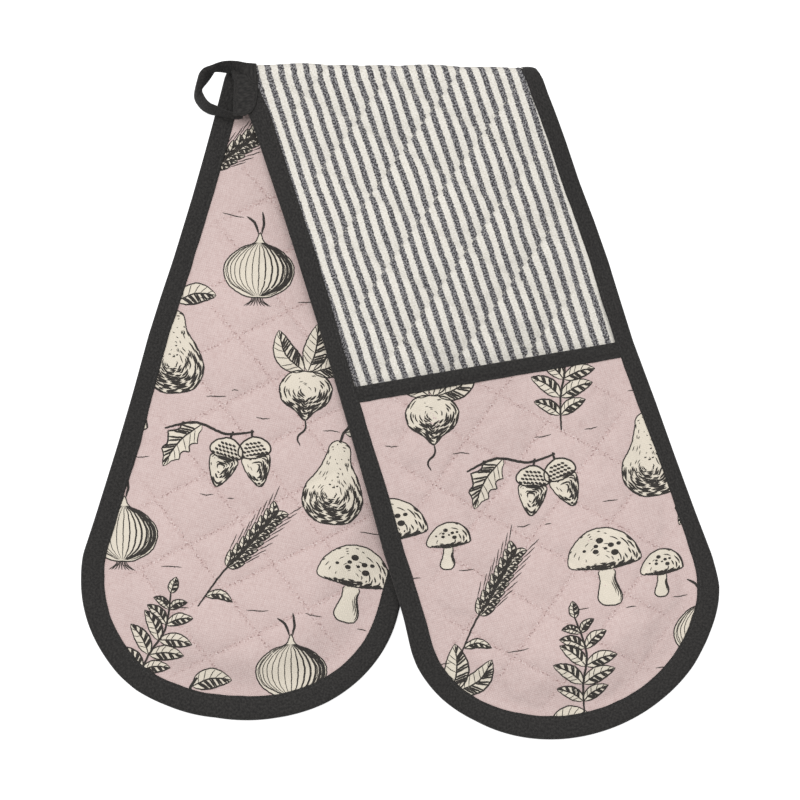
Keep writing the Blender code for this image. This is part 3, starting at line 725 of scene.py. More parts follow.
def lay_out(bm, leg, pulled=False):
    """Cloth coordinates in metres, across and along the strip. Seams pull each diamond's threads their own way."""
    layer = bm.loops.layers.uv.new("cloth")
    spots = {}
    for vert in bm.verts:
        x, y, _ = vert.co
        s, t = leg.measure(x, y)
        if pulled:
            t += drawn(leg, x, y).x * leg.cos
            t += WANDER * noise.noise(Vector((x / WANDER_LENGTH, y / WANDER_LENGTH, 3)))
            spots[vert] = (s, t, leg.seam_phase(x, y), from_edge(leg, x, y))
        else:
            spots[vert] = (s, t)
    for face in bm.faces:
        if pulled:
            middle = face.calc_center_median()
            cell = [math.floor(phase) for phase in leg.seam_phase(middle.x, middle.y)]
            shares = [jog * (1 + noise.noise(Vector((*cell, k + 0.5)) * JOG_NOISE))
                      for k, jog in enumerate(STRIPE_JOGS)]
        for loop in face.loops:
            spot = spots[loop.vert]
            pull = 0
            if pulled:
                for k, share in enumerate(shares):
                    off = 2 * (spot[2][k] - cell[k]) - 1
                    pull += share / 2 * math.copysign(abs(off) ** JOG_POWER, off)
                pull *= spot[3]
            loop[layer].uv = (spot[1] + pull, spot[0])


CREASE_SHADE_SHARE = 0.035


def mark_crease_shade(bm, leg):
    """A crease value of 1 on the stitch lines, which fades out beside them. The materials paint shade and highlights
    along the stitch lines by it.
    """
    layer = bm.verts.layers.float.new("crease")
    for vert in bm.verts:
        x, y, _ = vert.co
        vert[layer] = math.exp(-(leg.from_seam(x, y) / CREASE_SHADE_SHARE) ** 2) * from_edge(leg, x, y) ** 0.5


# Mesh cells between two seams, in the plies that the solver settles and in the others
FINE = 18
COARSE = 9

# The simulation of a ply: it is held along its seams and round its border, is cut a little fuller than its frame, and
# is pressed out by the wadding
SETTLE_FRAMES = 16
SETTLE_SETTINGS = {
    "quality": 4, "mass": 0.2, "tension_stiffness": 20, "compression_stiffness": 20, "shear_stiffness": 20,
    "bending_stiffness": 0.02, "shrink_min": -0.015, "use_pressure": True, "uniform_pressure_force": 3,
}
SETTLE_CAP = 0.0008
SEAM_GRIP_SHARE = 0.05
BORDER_GRIP = 0.004
UNDER_GRIP = 0.010


def held(leg, x, y, pocket):
    """Whether sewing, the fold or the other leg holds the cloth at a point."""
    if leg.from_seam(x, y) < SEAM_GRIP_SHARE or leg.inside(x, y) < EDGE_BAND + BORDER_GRIP or y > -BORDER_GRIP:
        return True
    if leg is BACK and FRONT.inside(x, y) > -UNDER_GRIP:
        return True
    return pocket and leg.past_mouth(x, y) < MOUTH_BAND + BORDER_GRIP


def settle(bm, grips):
    """Lets the cloth solver swell and crease a ply between its seams, and moves the mesh's points to the result."""
    mesh = bpy.data.meshes.new("ply")
    bm.to_mesh(mesh)
    item = linked("ply", mesh)
    item.vertex_groups.new(name="held").add(grips, 1, "REPLACE")
    cloth = item.modifiers.new("ply", "CLOTH")
    for setting, value in SETTLE_SETTINGS.items():
        setattr(cloth.settings, setting, value)
    cloth.settings.vertex_group_mass = "held"
    cloth.settings.effector_weights.gravity = 0
    cloth.collision_settings.use_collision = False
    for frame_number in range(1, SETTLE_FRAMES + 1):
        bpy.context.scene.frame_set(frame_number)
    result = item.evaluated_get(bpy.context.evaluated_depsgraph_get()).data.vertices
    moves = [settled.co - vert.co for settled, vert in zip(result, bm.verts)]
    bm.normal_update()
    for vert in bm.verts:
        move = moves[vert.index] / 2
        for edge in vert.link_edges:
            move += moves[edge.other_vert(vert).index] / 2 / len(vert.link_edges)
        outwards = move.dot(vert.normal)
        if outwards < 0:
            move -= vert.normal * outwards
        vert.co += move * min(1, SETTLE_CAP / max(move.length, SETTLE_CAP / 10))
    bpy.data.objects.remove(item)
    bpy.data.meshes.remove(mesh)
    bpy.context.scene.frame_set(1)


# The middle of each layer of wadding, and half its thickness
STRIP_LAYER = (strip_middle, strip_half)
POCKET_LAYER = (pocket_middle, pocket_half)


def quilted_ply(name, leg, layer, side, finish, cells):
    """One ply of quilted cloth. side is 1 for the ply above the wadding and -1 for the one below it."""
    middle, half = layer
    pocket = layer is POCKET_LAYER
    bm = flat_pattern(leg, cells, pocket)
    lay_out(bm, leg, pulled=finish is TICKING)
    mark_crease_shade(bm, leg)
    bm.verts.index_update()
    grips = [vert.index for vert in bm.verts if held(leg, vert.co.x, vert.co.y, pocket)]
    for vert in bm.verts:
        x, y, _ = vert.co
        level = middle(leg, x, y) + side * (half(leg, x, y) + CLOTH + pucker(leg, x, y))
        vert.co = bent(leg, (x, y, max(level, CLEARANCE)), FOLD_FULLNESS)
    if cells == FINE:
        settle(bm, grips)
    if side < 0:
        bmesh.ops.reverse_faces(bm, faces=bm.faces)
    surface = BVHTree.FromBMesh(bm)
    item = add_piece(name, bm, finish, leg.body if pocket else None)
    thicken(item, FABRIC)
    if not pocket:
        over_the_fold(item, leg)
    return item, surface


def wadding(name, leg, layer):
    """The wadding between two plies, thin at the seams and full in the diamonds."""
    middle, half = layer
    pocket = layer is POCKET_LAYER
    bm = flat_pattern(leg, COARSE, pocket)
    lay_out(bm, leg)
    bmesh.ops.solidify(bm, geom=bm.faces[:], thickness=FABRIC)
    heights = [vert.co.z for vert in bm.verts]
    split = (min(heights) + max(heights)) / 2
    for vert in bm.verts:
        x, y, z = vert.co
        side = 1 if z > split else -1
        level = middle(leg, x, y) + side * (half(leg, x, y) + pucker(leg, x, y))
        vert.co = bent(leg, (x, y, max(level, CLOTH)), FOLD_FULLNESS)
    item = add_piece(name, bm, BATTING, leg.body if pocket else None)
    if not pocket:
        over_the_fold(item, leg)
    return item


# Binding tapes

BINDING_STEP = 0.003
BINDING_ROUND_STEPS = 96
LIP_STITCH = 0.0017
TAPE_CROWN = 0.00045
GROOVE = 0.00030
GROOVE_WIDTH = 0.0011
ROLL = 0.0016
ROLL_STEPS = 7
FACE_STEPS = 12
MITRE_LEAD = 0.030
LIP_WAVE = 0.0003
LIP_WAVE_LENGTH = 0.009


def edge_stations(leg, step=BINDING_STEP, round_steps=BINDING_ROUND_STEPS):
    """Points round the laid-out edge from the apex's left end to its right end, each with the way inwards."""
    points = []
    for side in (-1, 1):
        s_apex = (side * WAIST_WIDTH / 2 * leg.sin - FOLD_QUARTER) / leg.cos
        steps = math.ceil((leg.side_length - s_apex) / step)
        line = [(mix(s_apex, leg.side_length, k / steps), side) for k in range(steps + 1)]
        points += line if side < 0 else line[::-1]
        if side < 0:
            for k in range(1, round_steps):
                turn = math.pi * k / round_steps
                points.append((leg.side_length + leg.round_end * math.sin(turn), -math.cos(turn)))
    places = [leg.place(s, share * (leg.half_width(s) if s <= leg.side_length else leg.half_end))
              for s, share in points]
    stations = []
    for k, point in enumerate(places):
        run = (places[min(k + 1, len(places) - 1)] - places[max(k - 1, 0)]).normalized()
        inwards = Vector((-run.y, run.x, 0))
        level = smooth((point.y + MITRE_LEAD) / MITRE_LEAD)
        square = Vector((1 / inwards.x, 0, 0)) if level else inwards
        stations.append((point, inwards.lerp(square, level)))
    return stations


def tape_section(width, low, high):
    """Section of a tape folded over an edge, from its upper lip round the edge to its lower lip.

    low and high give the layers' own levels at a distance in from the edge. Each face is crowned a little and dips
    along its stitch line beside the lip.
    """
    def face(depth, side):
        level = high(depth) if side > 0 else low(depth)
        crowned = TAPE_CROWN * math.sin(math.pi * min(depth / (width - LIP_STITCH), 1)) if side > 0 else 0
        dip = GROOVE * math.exp(-((depth - width + LIP_STITCH) / GROOVE_WIDTH) ** 2)
        return level + side * (WRAP + crowned - dip)

    depths = [mix(width, ROLL, k / FACE_STEPS) for k in range(FACE_STEPS + 1)]
    section = [(depth, face(depth, 1)) for depth in depths]
    top, bottom = face(ROLL, 1), face(ROLL, -1)
    for k in range(1, ROLL_STEPS):
        turn = math.pi * k / ROLL_STEPS
        section.append((ROLL * (1 - math.sin(turn)), mix(bottom, top, (1 + math.cos(turn)) / 2)))
    section += [(depth, face(depth, -1)) for depth in reversed(depths)]
    return section


def reaches(line):
    """How far along a line each of its points lies."""
    far = [0]
    for before, after in zip(line, line[1:]):
        far.append(far[-1] + (after - before).length)
    return far


def tape_grid(runs, girth):
    """A grid with cloth coordinates along and across a tape, and each point's column and row in it."""
    columns, rows = len(runs) - 1, len(girth) - 1
    bm = bmesh.new()
    bmesh.ops.create_grid(bm, x_segments=columns, y_segments=rows, size=1)
    layer = bm.loops.layers.uv.new("cloth")
    spots = {vert: (round((vert.co.x + 1) / 2 * columns), round((vert.co.y + 1) / 2 * rows)) for vert in bm.verts}
    for face in bm.faces:
        for loop in face.loops:
            column, row = spots[loop.vert]
            loop[layer].uv = (runs[column], girth[row])
    return bm, spots


def bound(name, leg, sections, length_step, body=None):
    """A piece of tape folded over an edge, bent to follow matching sections."""
    bm, spots = tape_grid([column * length_step for column in range(len(sections))], reaches(sections[0]))
    for vert, (column, row) in spots.items():
        vert.co = bent(leg, sections[column][row])
    bm.normal_update()
    middle = (len(sections) // 2, 0)
    top = next(face for face in bm.faces if any(spots[vert] == middle for vert in face.verts))
    if top.normal.z < 0:
        bmesh.ops.reverse_faces(bm, faces=bm.faces)
    item = add_piece(f"{leg.name}_{name}_tape", bm, TWILL, body)
    thicken(item, TAPE)
    return item


def edge_binding(leg):
    """The leg's half of the bias tape round the strip's edge."""
    sections = []
    for point, inwards in edge_stations(leg):
        def levels(depth):
            place = point + inwards * depth
            return rim_levels(leg, place.x, place.y)
        width = EDGE_BINDING + LIP_WAVE * noise.noise(point / LIP_WAVE_LENGTH)
        section = tape_section(width, lambda depth: levels(depth)[0], lambda depth: levels(depth)[1])
        sections.append([point + inwards * depth + Vector((0, 0, z)) for depth, z in section])
    item = bound("edge_binding", leg, sections, BINDING_STEP)
    over_the_fold(item, leg)
    return item


MOUTH_COLUMNS = 64
MOUTH_TUCK = 0.006
MOUTH_END_ROUNDS = 40


def mouth_binding(leg):
    """Tape folded over the pocket's free edge. Its ends are caught under the edge binding."""
    down = leg.into_pocket
    slope = math.tan(leg.mouth_tilt)
    ends = []
    for side in (-1, 1):
        t = 0
        for _ in range(MOUTH_END_ROUNDS):
            t = side * (leg.half_width(MOUTH_DISTANCE + t * slope) - EDGE_BAND + MOUTH_TUCK)
        ends.append(t)
    sections = []
    for k in range(MOUTH_COLUMNS + 1):
        t = mix(ends[0], ends[1], k / MOUTH_COLUMNS)
        point = leg.place(MOUTH_DISTANCE + t * slope, t) - down * EDGE_SETBACK

        def level(side):
            def height(depth):
                place = point + down * max(depth, EDGE_SETBACK)
                caught = smooth((EDGE_BAND - leg.inside(place.x, place.y)) / CLEARANCE / 4) * WRAP
                return pocket_middle(leg, place.x, place.y) + side * (POCKET_EDGE_HALF - caught)
            return height
        section = tape_section(MOUTH_BINDING + LIP_WAVE * noise.noise(point / LIP_WAVE_LENGTH), level(-1), level(1))
        sections.append([point + down * depth + Vector((0, 0, z)) for depth, z in section])
    item = bound("mouth_binding", leg, sections, WAIST_WIDTH / MOUTH_COLUMNS, leg.body)
    return item


# The print: kitchen-garden drawings in ink on cream, scattered over the pink. They are drawn in millimetres.

NIB = 0.75
PEN_STEP = 1.5
SHAKE = 0.16
PEN_CLEARANCE = 0.01
RIB = 20
PAPER_LIGHT = Vector((-0.6, 0.8))
OUTER_RING = 0.97
INNER_RING = 0.12
RING_STEP = 1.25
CREAM_ABOVE = 0.00009
INK_ABOVE = 0.00022


def curve_through(points, steps=6, closed=False):
    """A smooth line through points, with even steps between each two."""
    count = len(points)
    spans = count if closed else count - 1
    line = []
    for k in range(spans):
        near = [points[(k + d) % count] if closed else points[min(max(k + d, 0), count - 1)] for d in (-1, 0, 1, 2)]
        a, b, c, d = (Vector(point) for point in near)
        for step in range(steps):
            u = step / steps
            line.append(0.5 * (2 * b + (c - a) * u + (2 * a - 5 * b + 4 * c - d) * u * u
                               + (3 * b - a - 3 * c + d) * u ** 3))
    if not closed:
        line.append(Vector(points[-1]))
    return line


def along_line(line, count):
    """count + 1 points at even distances along a line."""
    lengths = reaches(line)
    spots, k = [], 0
    for step in range(count + 1):
        reach = lengths[-1] * step / count
        while k < len(line) - 2 and lengths[k + 1] < reach:
            k += 1
        share = (reach - lengths[k]) / max(lengths[k + 1] - lengths[k], 1e-9)
        spots.append(line[k].lerp(line[k + 1], min(share, 1)))
    return spots


class Drawing:
    """One motif: cream areas under ink lines and ink areas."""

    def __init__(self):
        self.cream = bmesh.new()
        self.ink = bmesh.new()
        self.dice = random.Random(7)

    def area(self, outline, ink=False):
        bm = self.ink if ink else self.cream
        face = bm.faces.new([bm.verts.new((point.x, point.y, 0)) for point in outline])
        face.normal_update()
        if face.normal.z < 0:
            face.normal_flip()
        bmesh.ops.triangulate(bm, faces=[face])

    def stroke(self, line, width=NIB, tip=0.2):
        """A pen stroke, full in the middle and thin at its ends."""
        line = [Vector(point) for point in line]
        count = max(math.ceil(reaches(line)[-1] / PEN_STEP), 3)
        spots = along_line(line, count)
        shake = [self.dice.uniform(-SHAKE, SHAKE) * (0 < k < count) for k in range(count + 1)]
        grid = bmesh.ops.create_grid(self.ink, x_segments=count, y_segments=1, size=1)["verts"]
        for vert in grid:
            k = round((vert.co.x + 1) / 2 * count)
            run = (spots[min(k + 1, count)] - spots[max(k - 1, 0)]).normalized()
            full = math.sin(math.pi * k / count) ** 0.5 if 0 < k < count else 0
            side = vert.co.y * width / 2 * mix(tip, 1, full) + shake[k]
            vert.co = (spots[k].x - run.y * side, spots[k].y + run.x * side, 0)

    def curve(self, points, width=NIB, tip=0.2):
        self.stroke(curve_through(points), width, tip)

    def outlined(self, points, hidden=False):
        """A cream shape with an ink line round it, or round all but its last side. Returns the outline."""
        outline = curve_through(points, closed=True)
        self.area(outline)
        self.stroke(outline[:1 - len(outline) // len(points)] if hidden else outline + outline[:2], tip=0.8)
        return outline

    def round_shade(self, outline, centre, shares, start, end):
        """Engraver's lines that follow a shape's own outline inwards, from one share of the way round to another."""
        count = len(outline)
        for k, share in enumerate(shares):
            trim = (end - start) * 0.11 * k
            first, last = round((start + trim) * count), round((end - trim) * count)
            line = [centre + (outline[step % count] - centre) * share for step in range(first, last + 1)]
            if len(line) > 2:
                self.stroke(line, NIB * mix(1, 0.5, k / len(shares)), tip=0.1)

    def engrave(self, outline, centre, density=1.0):
        """Broken lines that follow a shape's outline inwards, thick on its dark side and sparse in the light."""
        count = len(outline)
        light = PAPER_LIGHT.normalized()
        reach = sum((point - centre).length for point in outline) / count
        rings = max(round(reach * (1 - INNER_RING) / RING_STEP), 3)
        for ring in range(rings):
            share = mix(OUTER_RING, INNER_RING, ring / rings)
            k = self.dice.randrange(count)
            end = k + count
            while k < end:
                out = outline[k % count] - centre
                facing = out.normalized().dot(light) if out.length else 0
                dark = smooth(0.5 - 0.42 * facing + 0.55 * (share - 0.62)) * density
                run = self.dice.uniform(2, 6) * mix(0.5, 1.6, dark)
                gap = self.dice.uniform(0.6, 2.4) * mix(3.2, 0.35, dark)
                arc = 2 * math.pi * reach * share / count
                steps = max(round(run / arc), 1)
                if self.dice.random() < mix(0.25, 1, dark):
                    line = [centre + (outline[j % count] - centre) * (share + 0.012 * math.sin(j))
                            for j in range(k, k + steps + 1)]
                    self.stroke(line, NIB * mix(0.55, 1.65, dark), tip=0.15)
                k += steps + max(round(gap / arc), 1)

    def leaf(self, root, tip, bow, half_width, veins=5, lobes=0):
        """A leaf on a bowed rib. Its lower half is shaded with veins drawn close together."""
        root, tip = Vector(root), Vector(tip)
        side = Vector((-(tip - root).y, (tip - root).x)).normalized()
        rib = along_line(curve_through([root, root.lerp(tip, 0.5) + side * bow, tip], 10), RIB)
        edges = {}
        for hand in (-1, 1):
            edges[hand] = []
            for k, point in enumerate(rib):
                share = k / RIB
                run = (rib[min(k + 1, RIB)] - rib[max(k - 1, 0)]).normalized()
                wide = math.sin(math.pi * share ** 0.85) ** 0.8 if 0 < share < 1 else 0
                wide *= 1 - 0.38 * abs(math.sin(math.pi * lobes * share)) if lobes else 1
                edges[hand].append(point + Vector((-run.y, run.x)) * hand * half_width * wide)
        self.area(edges[1] + edges[-1][-2:0:-1])
        self.stroke(edges[1])
        self.stroke(edges[-1], NIB * 1.3)
        self.stroke(rib, NIB * 1.2, tip=0.4)
        for k in range(1, veins + 1):
            at = round(RIB * k / (veins + 1.5))
            to = min(at + 3, RIB - 1)
            self.stroke([rib[at], rib[at].lerp(edges[1][to], 0.5) + side * 0.3, edges[1][to]], NIB * 0.6)
            for more in (0, 1):
                close = rib[min(at + more, RIB - 1)]
                self.stroke([close, close.lerp(edges[-1][min(to + more, RIB - 1)], 0.95)], NIB * 1.5, tip=0.6)

    def ground(self, spots):
        """Short dashes on the ground round a motif."""
        for x, y, length in spots:
            lift_up = self.dice.uniform(-0.8, 0.8)
            self.stroke([(x, y), (x + length / 2, y + lift_up), (x + length, y)], NIB * 0.75)

    def finished(self):
        """Cuts the cream areas into small faces, so that they can follow the quilting, and returns the two meshes."""
        for normal in (Vector((1, 0, 0)), Vector((0, 1, 0))):
            reach = [vert.co.dot(normal) for vert in self.cream.verts]
            for k in range(math.ceil(min(reach) / PEN_STEP), math.floor(max(reach) / PEN_STEP) + 1):
                cut(self.cream, normal * k * PEN_STEP, normal, dist=PEN_CLEARANCE)
        return [mesh_of("motif", bm) for bm in (self.cream, self.ink)]


def pear(pen):
    body = pen.outlined([(0, 23), (6, 20), (8, 11), (14, 1), (18, -11), (13, -22), (3, -25), (-8, -24), (-16, -16),
                         (-16, -5), (-10, 5), (-7, 14), (-5, 21)])
    pen.engrave(body, Vector((-1, -7)))
    pen.curve([(0, 22), (1, 28), (5, 33)], NIB * 2.2, tip=0.7)
    pen.leaf((2, 28), (25, 31), 3, 6)
    for _ in range(9):
        x, y = pen.dice.uniform(-9, 3), pen.dice.uniform(-16, 4)
        pen.stroke([(x, y), (x + 1.2, y + 0.3)], tip=0.8)
    pen.ground([(-30, -25, 9), (19, -27, 12), (34, -24, 4)])


def radish(pen):
    body = pen.outlined([(0, 9), (9, 8), (15, 1), (13, -8), (6, -14), (1, -19), (-5, -14), (-13, -9), (-15, 0),
                         (-9, 8)])
    pen.engrave(body, Vector((0, -2)), density=1.1)
    pen.curve([(1, -18), (2, -24), (-2, -29), (0, -34)], NIB * 1.6)
    for root, tip, bow, wide in (((-2, 9), (-19, 31), 4, 6.5), ((0, 9), (3, 37), -2, 7), ((3, 9), (24, 27), -4, 6)):
        pen.leaf(root, tip, bow, wide, veins=6)
    pen.ground([(-27, -20, 8), (12, -24, 10)])


def wheat(pen):
    stem = along_line(curve_through([(-24, -30), (-12, -12), (2, 4), (20, 26)]), 40)
    pen.stroke(stem, NIB * 1.5, tip=0.6)
    for k in range(16, 40, 3):
        run = (stem[k] - stem[k - 1]).normalized()
        for hand in (-1, 1):
            out = Vector((-run.y, run.x)) * hand
            tip = stem[k] + run * 8.5 + out * 6
            pen.leaf(stem[k] + out * 0.8, tip, -hand * 1.2, 2.6, veins=2)
            pen.stroke([tip, tip + run * 9 + out * 3], NIB * 0.7)
    pen.leaf((-20, -24), (-4, -27), 3, 2.6, veins=4)
    pen.ground([(-36, -31, 7), (4, -31, 13)])


def mushrooms(pen):
    for x, y, size, lean in ((-11, 0, 1.0, 0), (21, -9, 0.6, 2)):
        def at(*points):
            return [(x + px * size + lean * py / 20, y + py * size) for px, py in points]
        stalk = pen.outlined(at((-4.2, -4), (-4.5, -10), (-7, -20), (-3, -24), (5, -24), (7, -19), (4.5, -10),
                                (4.2, -4)), hidden=True)
        pen.round_shade(stalk, Vector((x - 2 * size, y - 13 * size)), (0.92, 0.78, 0.64), 0.52, 0.84)
        cap = pen.outlined(at((-21, 0), (-19, 10), (-9, 19), (4, 20), (16, 13), (21, 1), (12, -2), (0, -3.5),
                              (-12, -2)))
        pen.engrave(cap, Vector((x - 1, y + 1)), density=0.9)
        for spot in range(8):
            turn = 0.5 + 2.4 * spot / 8
            reach = (7, 13, 10)[spot % 3]
            wide = (2.3, 1.4, 1.8, 1.1)[spot % 4] * size
            place = Vector((x, y + 3 * size)) + Vector((math.cos(turn) * reach, math.sin(turn) * reach * 0.8)) * size
            ring = [place + Vector((math.cos(a / 5 * math.pi), 0.75 * math.sin(a / 5 * math.pi))) * wide
                    for a in range(10)]
            pen.area(ring, ink=True)
        for gill in range(13):
            share = gill / 12 * 2 - 1
            start = Vector((x + share * 17 * size, y - 0.6 * size))
            pen.stroke([start, start + Vector((-share * 4.5, -3.4 + 1.6 * abs(share))) * size], NIB * 1.4)
    pen.ground([(-34, -24, 10), (25, -25, 9), (-3, -27, 6)])


def acorns(pen):
    pen.curve([(-30, 16), (-12, 20), (6, 14), (22, 16)], NIB * 2, tip=0.6)
    pen.leaf((-8, 19), (-30, -6), -3, 9, veins=6, lobes=4)
    for x, y, turn in ((6, 2, -0.25), (23, 3, 0.2)):
        def at(*points):
            return [Vector((x + px * math.cos(turn) - py * math.sin(turn),
                            y + px * math.sin(turn) + py * math.cos(turn))) for px, py in points]
        nut = pen.outlined(at((-7, -1), (-7.5, -7), (-4, -15), (0, -19), (4, -15), (7.5, -7), (7, -1)), hidden=True)
        pen.engrave(nut, at((-1, -8))[0], density=1.1)
        cup = curve_through(at((-9, 0), (-8, 6), (0, 10), (8, 6), (9, 0), (0, -2.5)), closed=True)
        pen.area(cup)
        pen.stroke(cup + cup[:2], NIB * 1.3, tip=0.8)
        for row in range(4):
            for column in range(-3, 4):
                px = column * 2.3 + (row % 2) * 1.1
                py = row * 2.1 - 0.6
                if abs(px) < 8 - row * 1.4:
                    pen.stroke(at((px - 1, py + 0.9), (px + 0.9, py)), NIB * 1.7, tip=0.6)
        pen.stroke(at((0, 10), (0.5, 14)), NIB * 1.8, tip=0.9)
    pen.ground([(-8, -21, 8), (8, -23, 4)])


def herb(pen):
    stem = along_line(curve_through([(-6, -32), (-3, -14), (3, 4), (1, 26)]), 40)
    pen.stroke(stem, NIB * 1.7, tip=0.6)
    for k, reach in ((6, 15), (13, 18), (20, 17), (27, 14), (33, 10)):
        run = (stem[k] - stem[k - 1]).normalized()
        for hand in (-1, 1):
            out = Vector((-run.y, run.x)) * hand
            pen.leaf(stem[k], stem[k] + out * reach + run * reach * 0.55, -hand * 1.5, reach * 0.24, veins=4)
    pen.leaf(stem[-1] - Vector((0, 1)), stem[-1] + Vector((1, 9)), 0, 2.8, veins=3)
    pen.ground([(-22, -33, 10), (7, -34, 8)])


def onion(pen):
    body = pen.outlined([(0, 18), (3, 12), (12, 8), (20, -1), (18, -12), (8, -19), (0, -20), (-8, -19), (-18, -12),
                         (-20, -1), (-12, 8), (-3, 12)])
    for k in range(-7, 8):
        share = math.sin(k / 7.6 * math.pi / 2)
        dark = smooth((share + 0.35) / 1.2)
        pen.curve([(share * 2, 12), (share * 12, 7), (share * 19, -2), (share * 16, -12), (share * 3, -19)],
                  NIB * mix(0.6, 1.7, dark))
    pen.round_shade(body, Vector((0, -4)), (0.93, 0.84, 0.75), 0.14, 0.44)
    for k in range(9):
        turn = math.radians(-150 + 15 * k)
        pen.curve([(k * 0.7 - 3, -19.5), (k * 0.9 - 4, -22), (9 * math.cos(turn), -25)], NIB * 0.8)
    pen.curve([(-1, 17), (-3, 23), (-8, 27)], NIB * 2)
    pen.curve([(1, 17), (2, 24), (1, 30)], NIB * 2)
    pen.ground([(-34, -21, 9), (23, -22, 12)])


MOTIFS = (pear, wheat, radish, mushrooms, herb, acorns, onion)
ROW_STEP = 0.056
COLUMN_STEP = 0.078
ROW_SLACK = 0.006
COLUMN_SLACK = 0.005
TURN_SLACK = 0.16
MOTIF_SCALE = 1.04 * MM


def print_on(name, leg, surface, side, first, last, shift):
    """Scatters the motifs in staggered rows over a ply, between two distances down the leg, and lays them on it."""
    dice = random.Random(name)
    layers = [bmesh.new(), bmesh.new()]
    rows = math.ceil((last - first) / ROW_STEP)
    for row in range(rows + 1):
        for column in (-1, 0, 1, 2):
            s = first + row * ROW_STEP + dice.uniform(-ROW_SLACK, ROW_SLACK)
            t = (column - 0.5 + 0.5 * (row % 2)) * COLUMN_STEP + dice.uniform(-COLUMN_SLACK, COLUMN_SLACK)
            spot = leg.place(s, t)
            turn = leg.angle * 0.35 + dice.uniform(-TURN_SLACK, TURN_SLACK)
            kind = drawings[(column * 2 + row * 3 + shift) % len(drawings)]
            place = (Matrix.Translation(spot) @ Matrix.Rotation(turn, 4, "Z")
                     @ Matrix.Diagonal((side * MOTIF_SCALE, MOTIF_SCALE, MOTIF_SCALE, 1)))
            for bm, mesh in zip(layers, kind):
                moved = mesh.copy()
                moved.transform(place)
                bm.from_mesh(moved)
                bpy.data.meshes.remove(moved)
    for bm, height, finish, label in zip(layers, (CREAM_ABOVE, INK_ABOVE), INKS, ("cream", "ink")):
        lay_out(bm, leg)
        lost = []
        for vert in bm.verts:
            x, y, _ = vert.co
            hit, normal, _, _ = surface.ray_cast(Vector((x, y, side)), Vector((0, 0, -side)))
            if hit is None or y > -CLEARANCE:
                lost.append(vert)
            else:
                vert.co = hit + normal * (height if normal.z * side > 0 else -height)
        bmesh.ops.delete(bm, geom=lost, context="VERTS")
        add_piece(f"{name}_{label}", bm, finish, leg.body)


# Hanging loop

LOOP_TAPE_WIDTH = 0.0124
TAPE_THICKNESS = 0.0013
TAB_HEIGHT = 16.9
LOOP_STEPS = 6
RIBBON_ROUND = 20
HEM = 0.0016
FOLD_SOFTNESS = 0.0006
SHARE_STEP = 0.02
PICTURE = 800

# The route of the tape, from its upper sewn end out to the left, round, and back to the tab's foot. Each row gives
# its inner edge, where there is one the crest it is creased along, and its outer edge: across and down in the
# picture, and above the table in millimetres
LOOP_ROWS = (
    ((256.5, 85.0, 17.2), (256.5, 63.4, 17.2)),
    ((251.5, 83.0, 17.3), (251.5, 63.0, 17.7)),
    ((246.5, 79.5, 16.6), (246.5, 62.6, 18.9)),
    ((241, 76, 14.0), (241, 61.6, 20.3)),
    ((234.5, 73.8, 11.5), (234.5, 60.9, 20.6)),
    ((227.5, 73, 10.0), (227.5, 60.9, 20.6)),
    ((220.5, 72, 9.5), (220.5, 62, 20.6)),
    ((215, 71.8, 10), (211, 68, 19.5), (209.5, 65.6, 19)),
    ((213, 74.5, 10), (205, 69.8, 19), (203.3, 68.5, 17.5)),
    ((210, 79, 9), (201.5, 73.5, 18.5), (199.2, 74, 16)),
    ((206.5, 83.5, 9.5), (200, 79.5, 18), (197.3, 80.5, 14.5)),
    ((203.5, 87, 11), (199, 86, 17), (195.6, 87, 12.5)),
    ((202.3, 90.5, 14), (199, 92, 15.5), (194.4, 93.5, 9)),
    ((203.6, 95, 15.5), (199.5, 97.5, 11.5), (194.8, 99.5, 5.5)),
    ((206.5, 99.8, 16), (202.5, 103, 10.5), (198, 105.3, 4.5)),
    ((210.5, 103.3, 16.3), (206.5, 107.3, 10.5), (202.8, 110.3, 4.5)),
    ((215, 105.2, 16.5), (211.5, 109.8, 11), (209, 113.8, 4.8)),
    ((219.5, 107.2, 16.5), (217, 111.5, 11.5), (215.3, 115.3, 5.5)),
    ((225, 109.8, 16.5), (223.3, 113.5, 12), (222, 116.6, 6.5)),
    ((231, 112.2, 16.2), (230, 115.3, 12), (229.2, 118, 7)),
    ((237.5, 114, 15.6), (237, 116.6, 11.5), (236.6, 119, 7.2)),
    ((243, 115, 14.8), (242.8, 116.8, 11), (242.6, 118.2, 8)),
)

# Down the tab, each row gives its left and right edges across the picture, and how far down the picture they lie
TAB_ROWS = (
    (234, 258.3, 74.5), (234, 258.3, 81), (233.8, 258, 88), (233.5, 257.4, 95), (233.3, 256.6, 101),
    (233.2, 255, 106.5), (233.1, 252.8, 110.5), (233.2, 249.5, 113.5), (233.6, 244, 115.9),
)


def seen_at(across, down, height):
    """The point at a height in millimetres that the camera sees at a place in its square picture."""
    scale = (CAMERA_HEIGHT - height * MM) * SENSOR / LENS / PICTURE
    point = MID + Vector(((across - PICTURE / 2) * scale, (PICTURE / 2 - down) * scale, height * MM))
    return FOLD_PLACE.inverted() @ point


def across_tape(row, share):
    """A point across the tape, from its inner edge at 0 to its outer edge at 1, with its crest rounded off."""
    inner, crest, outer = row
    first, second = (crest - inner).length, (outer - crest).length
    reach = share * (first + second)
    points = []
    for off in (-FOLD_SOFTNESS, 0, FOLD_SOFTNESS):
        at = reach + off
        points.append(inner.lerp(crest, at / first) if at < first else crest.lerp(outer, (at - first) / second))
    return sum(points, Vector()) / len(points)


